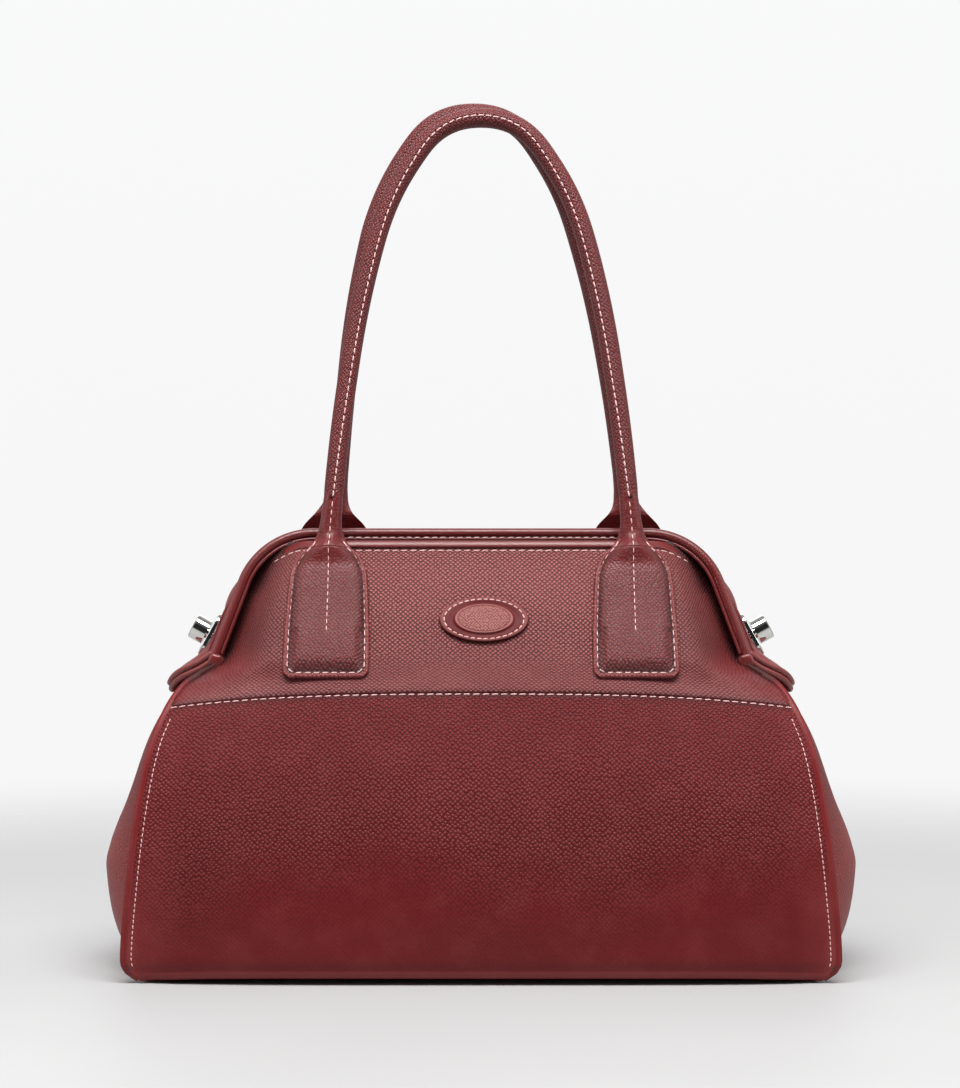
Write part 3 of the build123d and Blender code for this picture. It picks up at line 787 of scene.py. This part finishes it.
# ---------------------------------------------------------------- frames
ROLL_R, FRAME_FLANGE_R, RIDGE_R = 2.5, 0.95, 0.75
RIDGES = [(-2.4, -0.9), (-3.7, -1.5)]   # inset and forward place of the two sewn ridges outside each arm
FRAME_TONE = (0.5, 0.10, 0.0)
STRIP_ROWS = 12


def top_strip(side):
    """Turned strip under the top bar."""
    x = np.linspace(-100, 100, 120)
    grid = []
    for s in np.linspace(-1, 1, STRIP_ROWS):
        z = 213.0 - 1.7 * s - 5.0 * smooth(86, 104, np.abs(x)) ** 1.5
        rounding = 0.9 * math.sqrt(max(1 - s * s, 0.02))
        depth = front_depth(x, z) + 0.8 + rounding - 2.2 * smooth(88, 104, np.abs(x))
        grid.append(np.stack([x, side * depth, z], axis=1))
    return shell(f"top_strip_{SIDES[side]}", np.array(grid), 0.9, [TRIM, TRIM, EDGE], (0, side, 0),
                 (0.5, 0.16, 0.0), rim=0.2)


def make_frame_leather(side):
    name = SIDES[side]
    body = f"{name}_frame"
    roll = tube(f"frame_roll_{name}", frame_line(side=side, step=1.6), ROLL_R, TRIM, FRAME_TONE, around=24)
    settle(roll, body, [f"{body}_roll"])
    flange = frame_line(3.2, 0.4, side, shorten=1.0)
    settle(tube(f"frame_flange_{name}", flange, FRAME_FLANGE_R, TRIM, FRAME_TONE, around=12), body)
    for hand in HANDS:
        for i, (inset, forward) in enumerate(RIDGES, 1):
            line = frame_line(inset, forward, side, full_below=50.0)
            line = line[(line[:, 0] * hand > 100) & (line[:, 2] < 209)]
            ridge = tube(f"arm_ridge_{name}_{HANDS[hand]}_{i}", line, RIDGE_R, TRIM, FRAME_TONE, around=12)
            settle(ridge, body)
    settle(top_strip(side), body, [f"{name}_top_binding"])
    # fine stitches in the groove below the roll
    line = frame_line(2.6, 1.4, side)
    line = line[np.abs(line[:, 0]) < 82]
    obj = stitches(f"groove_stitches_{name}", line, (0, side * 0.97, 0.24), pitch=4.2, length=2.7,
                   radius=0.28)
    settle(obj, body)


ARM_END = np.array([132.7, 24.2, 154.5])
ARM_END_HALF = np.array([3.9, 3.3, 3.7])
ARM_END_TILT = math.radians(-20.0)
ARM_END_POWER = 0.62        # 1 is an ellipsoid, 0 a block
ARM_END_ROWS, ARM_END_AROUND = 17, 28


def squared(c):
    return np.sign(c) * np.abs(c) ** ARM_END_POWER


def make_arm_ends(side):
    """The roll's leather folded over the end of each arm, a rounded block."""
    u = np.linspace(0, 2 * math.pi, ARM_END_AROUND, endpoint=False)
    v = np.linspace(-math.pi / 2, math.pi / 2, ARM_END_ROWS)
    block = np.stack([np.outer(squared(np.cos(v)), squared(np.cos(u))),
                      np.outer(squared(np.cos(v)), squared(np.sin(u))),
                      np.outer(squared(np.sin(v)), np.ones(ARM_END_AROUND))], axis=2) * ARM_END_HALF
    for hand in HANDS:
        # a fold line runs across the corner, with painted shade in it
        fold = groove(block[..., 0] * hand * 0.8 + block[..., 2] * 0.6 + 0.6, 0.35, 0.6)
        folded = block * (1 - fold / 4.0)[..., None]
        c, s = math.cos(ARM_END_TILT), math.sin(ARM_END_TILT) * hand
        x = folded[..., 0] * c + folded[..., 2] * s
        z = folded[..., 2] * c - folded[..., 0] * s
        verts = np.stack([x, folded[..., 1], z], axis=2) + ARM_END * (hand, side, 1)
        uv = np.stack(np.broadcast_arrays(u[None] * 4.0, v[:, None] * 4.0), axis=2)
        looks = np.outer(np.ones(fold.size), (0.4, 0.20, 0.0))
        # painted shade in the fold
        looks[:, 2] = np.clip(fold.ravel() * 1.6, 0, 0.6)
        obj = make_piece(f"arm_end_{SIDES[side]}_{HANDS[hand]}", verts,
                         grid_faces(ARM_END_ROWS, ARM_END_AROUND, wrap=True), [TRIM], uv, looks)
        settle(obj, f"{SIDES[side]}_frame")


# ---------------------------------------------------------------- end wings and hems
# half length of the wing at its middle, and at its crests between the middle and the arms, by height
WING_MIDDLE = Profile([(137.6, 158.0), (142, 156.2), (148, 151.4), (157, 142.0), (167.2, 136.2), (177, 130.9),
                       (189, 125.2), (200, 116.0), (206, 109.6), (211, 102.0)])
WING_CREST = Profile([(137.6, 158.3), (142, 157.6), (147, 155.4), (154, 145.6), (160, 140.6), (177, 131.2),
                      (183, 129.6), (189, 127.0), (200, 117.6), (206, 111.0), (211, 103.0)])
WING_TOP, WING_T = 211.0, 1.8
WING_ROWS, WING_COLUMNS = 40, 22
HEM = np.array([(133.6, 24.2, 155.4), (137.0, 22.0, 152.8), (140.6, 19.6, 150.6), (145.3, 16.4, 148.5),
                (150.3, 12.4, 146.3), (154.0, 8.4, 143.9), (156.6, 4.2, 140.8), (157.6, 0.0, 138.6)])
HEM_BANDS = [("rolled", 0.0, 0.0, 1.9), ("upper", 2.9, 1.1, 1.6)]   # name, height, way out, radius


def hem_line(lift=0.0, out=0.0):
    """Free lower edge of the right wing, from the rear arm round to the front arm."""
    line = np.concatenate([HEM, (HEM * (1, -1, 1))[:-1][::-1]])
    return soften(resample(line, 1.5), 4) + (out, 0, lift)


def wing_section(z, s):
    """Point of the wing at a height; s goes from 0 at the middle to 1 at the arm."""
    edge = float(np.interp(z, ARM[:, 2], ARM[:, 0])) + 0.3
    half = float(np.interp(z, ARM[:, 2], ARM[:, 1])) - 0.8
    middle, crest = float(WING_MIDDLE(z)), float(WING_CREST(z))
    x = edge + (middle - edge) * (1 - s ** 2.4) + (crest - middle) * math.sin(s * math.pi) ** 2 * 1.25
    return x, half * s


def make_wing(hand, side):
    """Half a wing, from the middle plane to one frame arm."""
    hem = hem_line()
    hem = np.abs(hem[hem[:, 1] * side >= -0.01])
    hem = hem[np.argsort(hem[:, 1])]
    shares = np.linspace(0, 1, WING_COLUMNS)
    low = at_distance(hem, hem[:, 1], shares * hem[-1, 1])
    grid = []
    for t in np.linspace(0, 1, WING_ROWS):
        for s, (low_x, low_y, low_z) in zip(shares, low):
            z = WING_TOP * (1 - t) + low_z * t
            x, y = wing_section(max(z, FRAME_END_Z), s)
            if z < FRAME_END_Z:
                x = float(WING_MIDDLE(z)) * (1 - s ** 2.4) + x * s ** 2.4
            k = float(smooth(160, low_z, z)) if low_z < 160 else 0.0
            grid.append((hand * (x * (1 - k) + low_x * k), side * (y * (1 - k) + low_y * k), z))
    grid = np.array(grid).reshape(WING_ROWS, WING_COLUMNS, 3)
    looks = np.tile([0.35, 0.36, 0.0], (WING_ROWS, WING_COLUMNS, 1))
    # painted shade towards the arm, in the gap behind the roll
    looks[..., 2] = 0.45 * smooth(0.86, 1.0, shares)
    obj = shell(f"end_wing_{HANDS[hand]}_{SIDES[side]}", grid, WING_T, [TRIM, LINING, EDGE], (hand, 0, 0.5),
                looks, rim=0.0)
    settle(obj, None, [f"{HANDS[hand]}_end_wing"])
    bellows(obj)


def bellows(obj):
    """Bakes the piece's transform into its mesh; the bellows movement is not made here. The wing opens with
    the frames like a bellows: still under the knob plate, moving fully at the arms. The line of growing
    movement tips back, because the arms come closer together towards the top."""
    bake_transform(obj)


def make_hems(hand):
    name = HANDS[hand]
    for side in SIDES:
        for label, lift, out, radius in HEM_BANDS:
            line = hem_line(lift, out)
            line = line[line[:, 1] * side >= -0.8] * (hand, 1, 1)
            obj = tube(f"wing_hem_{name}_{SIDES[side]}_{label}", line, radius, TRIM, (0.4, 0.42, 0.0),
                       around=16)
            settle(obj, None, [f"{name}_wing_hem"] if label == "rolled" and side == FRONT else ())
            bellows(obj)


# ---------------------------------------------------------------- handles
HANDLE_Y, HANDLE_TOP_Y, HANDLE_Z = 20.5, 6.5, 222.0
HANDLE_POINTS = [(75.5, 222.0), (71.0, 270.0), (61.5, 336.0), (47.0, 389.0), (20.0, 429.3)]
HANDLE_RADII = [880.0, 500.0, 130.0, 33.0]
HANDLE_R = 5.0
HANDLE_START = {FRONT: 13.5, REAR: 18.0}    # length of the handle that its tabs' necks cover
RISE = {FRONT: 0.0, REAR: 4.5}              # the rear handle and its tabs sit higher
LEAN = {FRONT: [0.0] * 5, REAR: [0.0, -0.5, -3.2, -4.4, -3.5]}
HANDLE_TONE = (0.9, 0.06, 0.0)


def handle_line(side):
    """Middle line of a handle, from its right foot over the top to its left foot."""
    run = np.array([HANDLE_TOP_Y - HANDLE_Y, HANDLE_POINTS[-1][1] - HANDLE_Z])
    length = np.linalg.norm(run)
    right, left = ([(hand * x + lean, (z - HANDLE_Z) * length / run[1])
                    for (x, z), lean in zip(HANDLE_POINTS, LEAN[side])] for hand in (1, -1))
    flat = fillet_path(right + left[::-1], HANDLE_RADII + HANDLE_RADII[::-1])
    flat = soften(resample(flat, 2.0), 12)
    y = HANDLE_Y + flat[:, 1] * run[0] / length
    z = HANDLE_Z + RISE[side] + flat[:, 1] * run[1] / length
    return np.stack([flat[:, 0], side * y, z], axis=1)


def fold_at_neck(obj):
    """Bakes the piece's transform into its mesh; the neck's bend where the handle folds on the frame is not
    made here.
    """
    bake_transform(obj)


def make_handle(side):
    name = SIDES[side]
    body = f"{name}_handle"
    line = handle_line(side)
    run = distance_along(line)
    from_end = np.minimum(run, run[-1] - run) - HANDLE_START[side]
    line, from_end = line[from_end > 0], from_end[from_end > 0]
    up = unit(np.array([0.0, side, 0.15]))
    t, sideways, front = axes_along(line, up)
    radius = HANDLE_R - 0.25 * (1 - smooth(0, 7, from_end))
    obj = tube(f"handle_{name}", line, radius, TAB, HANDLE_TONE, up, around=28, caps=0.0)
    settle(obj, body, [f"{name}_handle_cover"])
    # the sewn seam runs on the front face, a little towards the inside of the loop between neck and top
    s = np.linspace(0, 1, len(line))
    inside = 1.9 * np.sin(np.pi * np.abs(2 * s - 1)).clip(0) ** 0.8
    middle = np.array([0.0, line[:, 1].mean(), 320.0])
    angle = np.arcsin(inside / HANDLE_R) * np.sign(((middle - line) * sideways).sum(axis=1))
    normal = front * np.cos(angle)[:, None] + sideways * np.sin(angle)[:, None]
    ridge = line + normal * (HANDLE_R - 0.75) + unit(np.cross(t, normal)) * 0.9
    settle(tube(f"handle_seam_{name}", ridge, 0.95, TAB, HANDLE_TONE, up, around=12, caps=0.0), body)
    obj = stitches(f"handle_stitches_{name}", line + normal * (HANDLE_R - 0.15), normal, pitch=3.8,
                   length=3.1, radius=0.38, sink=0.02)
    settle(obj, body)


# ---------------------------------------------------------------- handle tabs
# a tab by its height above its foot: half width, rise of its padded middle, how square that rise is
TAB_HALF = Profile([(0.0, 17.6), (0.9, 19.4), (2.4, 20.7), (4.6, 21.3), (18, 21.2), (33, 20.5), (44, 19.9),
                    (50, 19.3), (55, 17.8), (59, 15.6), (62.5, 12.4), (65.5, 9.6), (69, 7.4), (73, 6.0),
                    (78, 5.3), (84, 5.05), (88, 4.9), (93, 4.55)])
TAB_RISE = Profile([(0.0, 2.4), (18, 3.1), (35, 2.8), (46, 2.8), (53, 3.4), (59, 5.0), (65, 6.8), (70, 7.6),
                    (88, 7.8)])
TAB_FULLNESS = Profile([(0.0, 9.0), (30, 8.0), (44, 5.0), (54, 2.8), (62, 2.2), (90, 2.0)])
TAB_X, TAB_BOTTOM_Z = 76.0, 147.0
TAB_SLOPE = math.radians(27.8)
TAB_RIM = 2.2
TAB_TOP = {FRONT: 93.0, REAR: 103.0}
TAB_SEWN_TO = {FRONT: 67.5, REAR: 79.5}
NECK_SEWN_TO = {FRONT: 88.0, REAR: 97.0}
NECK_FROM = 63.0            # the tab is below this height, the neck above it
REAR_REACH = 12.0           # how much further up the rear tabs stay wide
SEAM_INSET, SEAM_TURN = 2.4, 4.2
FACE_POINTS = 41
TAB_WIDEST = 21.3           # the largest half width


def tab_key(h, side):
    """The height at which a front tab has the shape that this tab has at h."""
    return h - REAR_REACH * float(smooth(24, 62, h)) if side == REAR else h


def tab_face(s, h, side):
    """Height of a tab's face above the yoke, across (s) and up (h) the tab, and the way to its edge."""
    h = tab_key(h, side)
    w = float(TAB_HALF(h))
    d = w - np.abs(s)
    near_foot = h < 22
    if near_foot:
        d = np.minimum(d, h + 0.01)
    rim = TAB_RIM * np.sqrt(1 - (1 - np.clip(d, 0, 1)) ** 2)
    share = np.clip(np.abs(s) / max(w - 2.5, 1.0), 0, 1)
    dome = float(TAB_RISE(h)) * (1 - share ** float(TAB_FULLNESS(h))) ** 0.8
    if near_foot:
        dome = dome * smooth(2.2, 8.0, d)
    sewn = groove(d - SEAM_INSET, 0.5, 0.5) * float(smooth(66, 60, h))
    centre = groove(s, 0.7, 0.9) * float(smooth(18, 26, h))
    neck = HANDLE_R + HANDLE_R * np.sqrt(np.clip(1 - (s / w) ** 2, 0, 1)) - centre * 0.6
    k = float(smooth(64, 74, h))
    return (rim + dome - sewn - centre) * (1 - k) + neck * k, d


def tab_ring(s, out, h, hand, side):
    """Points of a tab's section in space. s across, out above the yoke. The neck joins the handle's line."""
    key, rise, cx = tab_key(h, side), RISE[side], hand * TAB_X
    z = TAB_BOTTOM_Z + rise + h
    line = handle_line(side)
    line = line[line[:, 0] * hand > 30]
    line = line[np.argsort(line[:, 2])]
    neck_x, neck_y = (np.interp(z, line[:, 2], line[:, i]) for i in (0, 1))
    k = float(smooth(62, 75, key))
    # above the yoke the back passes over the top strip and goes straight on to the handle
    lying = float(front_depth(cx, min(z, 204.0 + rise))) + 0.15
    y_last = float(front_depth(cx, 202.0 + rise)) + 0.15
    top = HANDLE_Z + rise + 2.0
    over_strip = Profile([(202.0, y_last), (207.0, 24.4), (213.5, 22.0), (top, HANDLE_Y - HANDLE_R)])
    m = float(smooth(198, 206, z))
    back = lying * (1 - m) + float(over_strip(min(max(z, 202.0), top))) * m
    tilt = TAB_SLOPE * (1 - float(smooth(54, 72, key)))
    x = s + cx * (1 - k) + neck_x * k
    y = back * (1 - k) + (abs(neck_y) - HANDLE_R) * k + out * math.cos(tilt)
    return np.stack([x, side * y, z + out * math.sin(tilt)], axis=-1)


def tab_section(h, hand, side):
    """A closed section of a tab: its points, looks and grain places."""
    key = tab_key(h, side)
    w = float(TAB_HALF(key))
    s = np.sin(np.linspace(-1, 1, FACE_POINTS) * math.pi / 2) * w
    out, d = tab_face(s, h, side)
    back_s = s[::-1][1:-1]
    back = (HANDLE_R - HANDLE_R * np.sqrt(1 - (back_s / w) ** 2)) * float(smooth(64, 74, key))
    s, out, d = np.append(s, back_s), np.append(out, back), np.append(d, np.zeros(len(back_s)))
    rim = groove(d - 1.0, 1.0, 0.9) * float(smooth(70, 60, h))
    below_neck = h < 64
    # painted shade in the sewn groove, towards the sides and on the tab's edge and back
    dark = (groove(d - 2.9, 0.5, 0.8) + 0.22 * smooth(9, 3, d) * (d > 2.9)) * below_neck
    dark = dark + 0.6 * (d < 0.25) * float(smooth(72, 60, h))
    grain = np.full(len(s), 0.85 * float(smooth(64, 40, h)) + 0.15)
    return (tab_ring(s, out, h, hand, side), np.stack([grain, 0.04 + 0.26 * rim, dark], axis=1),
            np.stack([s, np.full(len(s), h)], axis=1))


def make_tab(hand, side):
    name = f"{SIDES[side]}_{HANDS[hand]}"
    heights = np.concatenate([[0.0, 0.35, 0.9, 1.6, 2.4, 3.2, 4.4], np.linspace(6, 60, 46),
                              np.linspace(61, TAB_TOP[side], 32)])
    points, looks, uv = (np.array(part) for part in zip(*(tab_section(h, hand, side) for h in heights)))
    # the tab is made in two pieces: the lower part on the yoke and the neck up to the handle
    cut = int(np.searchsorted(heights, NECK_FROM))
    for part, rows in (("tab", slice(0, cut + 1)), ("neck", slice(cut, None))):
        grid = points[rows]
        faces = grid_faces(grid.shape[0], grid.shape[1], wrap=True, caps=True)
        obj = make_piece(f"handle_{part}_{name}", grid, faces, [TAB], uv[rows], looks[rows])
        if part == "tab":
            settle(obj, None, [f"{name}_handle_tab"])
            bend_with_frame(obj)
        else:
            settle(obj)
            fold_at_neck(obj)
    tab_stitches(hand, side, name)


def tab_sewing(name, places, hand, side, **stitch):
    """Stitches on a tab's face, through places across and up it."""
    line = []
    for s, h in places:
        out, _ = tab_face(np.array([s]), h, side)
        line.append(tab_ring(np.array([s]), out, h, hand, side)[0])
    tilt = TAB_SLOPE * (1 - smooth(54, 72, [h for _, h in places]))
    normal = np.stack([np.zeros(len(places)), side * np.cos(tilt), np.sin(tilt)], axis=1)
    obj = stitches(name, np.array(line), normal, **stitch)
    settle(obj)
    return obj


def tab_stitches(hand, side, name):
    """The line round a tab, the line up its middle and the one up its neck."""
    foot = TAB_WIDEST - SEAM_INSET - SEAM_TURN
    half = [(x, SEAM_INSET) for x in np.linspace(0, foot, 12)]
    half += [(foot + SEAM_TURN * math.sin(a), SEAM_INSET + SEAM_TURN * (1 - math.cos(a)))
             for a in np.linspace(0.15, math.pi / 2, 8)]
    for h in np.linspace(SEAM_INSET + SEAM_TURN + 0.8, TAB_SEWN_TO[side], 72):
        key = tab_key(h, side)
        half.append((float(TAB_HALF(key)) - SEAM_INSET * min(1, 1 - (key - 60) / 20), h))
    loop = [(-x, h) for x, h in half[::-1]][:-1] + half
    bend_with_frame(tab_sewing(f"tab_stitches_{name}", loop, hand, side, pitch=4.3))
    thin = {"pitch": 3.8, "length": 2.7, "radius": 0.27, "slant": 0.02}
    middle = [(0.0, h) for h in np.linspace(21, NECK_FROM, 42)]
    bend_with_frame(tab_sewing(f"tab_centre_stitches_{name}", middle, hand, side, **thin))
    neck = [(0.0, h) for h in np.linspace(NECK_FROM + 0.3, NECK_SEWN_TO[side], 26)]
    fold_at_neck(tab_sewing(f"neck_stitches_{name}", neck, hand, side, sink=0.1, **thin))


# ---------------------------------------------------------------- badge
BADGE_X, BADGE_Z = 1.5, 175.0
BADGE_HALF_X, BADGE_HALF_Z = 22.0, 10.75
BADGE_AROUND = 96
# share of the outline, height above the yoke, lightening and painted shade, from the rim to the middle
BADGE_RINGS = [(1.0, -0.3, 0, 0.75), (1.005, 0.6, 0, 0.75), (1.0, 1.6, 0, 0.75), (0.985, 2.2, 0.16, 0),
               (0.95, 2.5, 0.16, 0), (0.915, 2.35, 0.16, 0), (0.895, 2.15, 0, 0), (0.875, 2.3, 0, 0.12),
               (0.84, 2.45, 0, 0.12), (0.78, 2.1, 0, 0.12), (0.73, 1.95, 0, 0.12), (0.69, 2.1, 0, 0.12),
               (0.66, 2.7, 0, 0), (0.645, 3.0, 0.34, 0), (0.62, 3.1, 0.34, 0), (0.60, 2.9, 0.34, 0),
               (0.585, 2.75, 0, 0), (0.565, 2.95, 0.20, 0), (0.54, 3.05, 0.20, 0), (0.35, 3.15, 0.20, 0),
               (0.15, 3.2, 0.20, 0)]
MEDALLION = 0.57            # the grained middle, as a share of the outline


def badge_ring(angle, share, out):
    """Points round the badge, which lies flat on the slope of the yoke, and its normal."""
    up = np.array([0.0, math.sin(TAB_SLOPE), math.cos(TAB_SLOPE)])
    normal = np.array([0.0, -math.cos(TAB_SLOPE), math.sin(TAB_SLOPE)])
    centre = np.array([BADGE_X, -float(front_depth(BADGE_X, BADGE_Z)), BADGE_Z])
    rise = BADGE_HALF_Z / math.cos(TAB_SLOPE) * share * np.sin(angle)
    ring = np.outer(BADGE_HALF_X * share * np.cos(angle), (1, 0, 0)) + np.outer(rise, up)
    return centre + ring + normal * out, normal


def make_badge():
    angle = np.linspace(0, 2 * math.pi, BADGE_AROUND, endpoint=False)
    rings, looks, uv = [], [], []
    for share, out, wear_and_sheen, dark in BADGE_RINGS:
        rings.append(badge_ring(angle, share, out)[0])
        # the last column is painted shade on the badge's outer side and in its sunken ring
        looks.append(np.outer(np.ones(BADGE_AROUND), (0.9 if share < MEDALLION else 0.0, wear_and_sheen, dark)))
        uv.append(np.stack([22 * share * np.cos(angle), 11 * share * np.sin(angle)], axis=1))
    faces = grid_faces(len(rings), BADGE_AROUND, wrap=True, caps=True)
    obj = make_piece("badge", rings, faces, [BADGE], uv, looks)
    settle(obj, None, ["badge_patch", "badge_medallion"])
    bend_with_frame(obj)
    line, normal = badge_ring(np.linspace(0, 2 * math.pi, 200), 0.895, 2.3)
    obj = stitches("badge_stitches", line, normal, pitch=3.1, length=2.3)
    settle(obj)
    bend_with_frame(obj)


# ---------------------------------------------------------------- inside and CAD finishes
LINING_ROWS = [(9.5, 158, 58), (30, 161, 61), (60, 161, 61), (90, 154, 58.5), (115, 140, 53), (132, 122, 47)]
LINING_AROUND, LINING_GIRTH = 120, 620.0
LINING_POWER = 5.0          # how square its outline is
LINING_INNER = (0.992, 0.98, 1)


def make_lining():
    """Cloth tub in the lower body."""
    t = np.linspace(0, 2 * math.pi, LINING_AROUND, endpoint=False)
    c, s = np.cos(t), np.sin(t)
    r = (np.abs(c) ** LINING_POWER + np.abs(s) ** LINING_POWER) ** (-1 / LINING_POWER)
    rows = []
    for z, half_x, half_y in LINING_ROWS:
        r_here = r * (1 + 0.006 * np.sin(7 * t + z / 12.0))
        rows.append(np.stack([half_x * r_here * c, half_y * r_here * s, np.full(LINING_AROUND, z)], axis=1))
    outer = np.array(rows)
    inner = outer * LINING_INNER
    inner[0, :, 2] += 1.0
    rows, cols = outer.shape[:2]
    n, top = rows * cols, (rows - 1) * cols
    faces = grid_faces(rows, cols, wrap=True) + grid_faces(rows, cols, wrap=True, flip=True, base=n)
    for i in range(cols):
        j = (i + 1) % cols
        faces.append((top + i, top + j, n + top + j, n + top + i))
    faces.append(tuple(range(cols))[::-1])
    faces.append(tuple(range(n, n + cols)))
    around = np.tile(np.linspace(0, LINING_GIRTH, cols), rows)
    uv = np.stack([around, outer[..., 2].ravel()], axis=1)
    obj = make_piece("lining_tub", [outer, inner], faces, [LINING], [uv, uv], (1.0, 0.0, 0.0))
    settle(obj, "bag_body", ["lining"])


CAD_LOOKS = {"knob_plate": CHROME, "turn_knob": CHROME, "knob_nut": STEEL, "hinge_bracket": STEEL,
             "hinge_pin": STEEL, "hinge_link": STEEL, "frame_rod": STEEL, "foot_rivets": STEEL,
             "base_feet": FOOT, "base_board": BOARD, "handle_core": BOARD}


def dress_cad():
    """Metal, plastic and board nodes keep their CAD shape and get their finish."""
    for name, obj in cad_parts.items():
        for key, material in CAD_LOOKS.items():
            if name.endswith(key):
                obj.data.materials.clear()
                obj.data.materials.append(material)


# ---------------------------------------------------------------- stage, light and camera
FLOOR_RINGS = [400, 800, 1300, 2000, 3500, 6000]
FLOOR_AROUND, FLOOR_Z = 96, -0.02
FLOOR_FADE = (0.30, 1.15)   # metres from the middle over which the floor turns into the backdrop


def make_stage():
    a = np.linspace(0, 2 * math.pi, FLOOR_AROUND, endpoint=False)
    verts = [(0, 0, FLOOR_Z)] + [(r * math.cos(t), r * math.sin(t), FLOOR_Z) for r in FLOOR_RINGS for t in a]
    faces = [(0, 1 + i, 1 + (i + 1) % FLOOR_AROUND) for i in range(FLOOR_AROUND)]
    faces += grid_faces(len(FLOOR_RINGS), FLOOR_AROUND, wrap=True, base=1)
    k = new_material("studio_floor")
    place = k.node("NewGeometry", {}).outputs["Position"]
    length = k.node("VectorMath", {0: place}, operation="LENGTH").outputs["Value"]
    colour = k.mix(k.range(k.noise(place, 3.0, 2.0), 0.3, 0.7), (0.40, 0.40, 0.40), (0.42, 0.42, 0.42))
    shader = k.node("BsdfPrincipled", {"Base Color": colour, "Roughness": 0.55, "Specular IOR Level": 0.2})
    clear = k.node("BsdfTransparent", {})
    mix = k.node("MixShader", {0: k.range(length, *FLOOR_FADE), 1: shader.outputs[0], 2: clear.outputs[0]})
    k.node("OutputMaterial", {"Surface": mix.outputs[0]})
    make_piece("studio_floor", verts, faces, [k.owner], flat=True)


def area(name, place, target_z, width, height, power):
    """Soft light that looks at the middle of the bag, at a height."""
    data = bpy.data.lights.new(name, "AREA")
    data.energy = power
    data.shape = "RECTANGLE"
    data.size = width
    data.size_y = height
    obj = bpy.data.objects.new(name, data)
    bpy.context.scene.collection.objects.link(obj)
    obj.location = place
    direction = Vector((0, 0, target_z)) - Vector(place)
    obj.rotation_euler = direction.to_track_quat("-Z", "Y").to_euler()
    return obj


def make_lights():
    world = bpy.data.worlds.new("studio")
    bpy.context.scene.world = world
    k = Nodes(world)
    split = k.node("SeparateXYZ", {0: k.node("TexCoord", {}).outputs["Generated"]}).outputs
    # what the camera sees: an even white backdrop
    seen = k.mix(k.range(split[2], -0.05, 0.35), (0.93, 0.93, 0.93), (0.945, 0.955, 0.95))
    # what lights the bag: pale above and behind it, dark in front
    lit = k.mix(k.range(split[1], -0.7, 0.3), (0.03, 0.03, 0.033), (0.60, 0.60, 0.60))
    lit = k.mix(k.range(split[2], 0.35, 0.95), lit, (0.50, 0.50, 0.50))
    camera_ray = k.node("LightPath", {}).outputs["Is Camera Ray"]
    mix = k.node("MixShader", {0: camera_ray, 1: k.node("Background", {0: lit, 1: 0.90}).outputs[0],
                               2: k.node("Background", {0: seen, 1: 1.0}).outputs[0]})
    k.node("OutputWorld", {0: mix.outputs[0]})
    area("overhead", (0.0, -0.75, 1.55), 0.15, 1.5, 0.6, 47.0)
    fill = area("front_fill", (0.0, -2.6, 0.7), 0.15, 2.2, 2.2, 6.5)
    fill.visible_glossy = False
    area("left_soft", (-1.6, -0.4, 0.8), 0.2, 1.0, 1.0, 7.5)
    area("right_soft", (1.6, -0.4, 0.8), 0.2, 1.0, 1.0, 8.0)
    area("rear_soft", (0.0, 1.7, 1.3), 0.2, 1.6, 1.6, 10.0)


def make_camera():
    data = bpy.data.cameras.new("camera")
    data.sensor_width = 36.0
    data.lens = 86.0
    obj = bpy.data.objects.new("camera", data)
    bpy.context.scene.collection.objects.link(obj)
    obj.location = (-0.0005, -1.325, 0.213)
    obj.rotation_euler = (math.pi / 2, 0, 0)
    bpy.context.scene.camera = obj


def main():
    make_camera()
    make_wrap()
    for hand in HANDS:
        make_gusset(hand)
        make_hems(hand)
    for side in SIDES:
        make_yoke(side)
        body_stitches(side)
        make_frame_leather(side)
        make_arm_ends(side)
        make_handle(side)
        for hand in HANDS:
            make_wing(hand, side)
            make_tab(hand, side)
    make_badge()
    make_lining()
    dress_cad()
    make_stage()
    make_lights()
    bpy.context.scene.view_settings.view_transform = "Standard"


main()
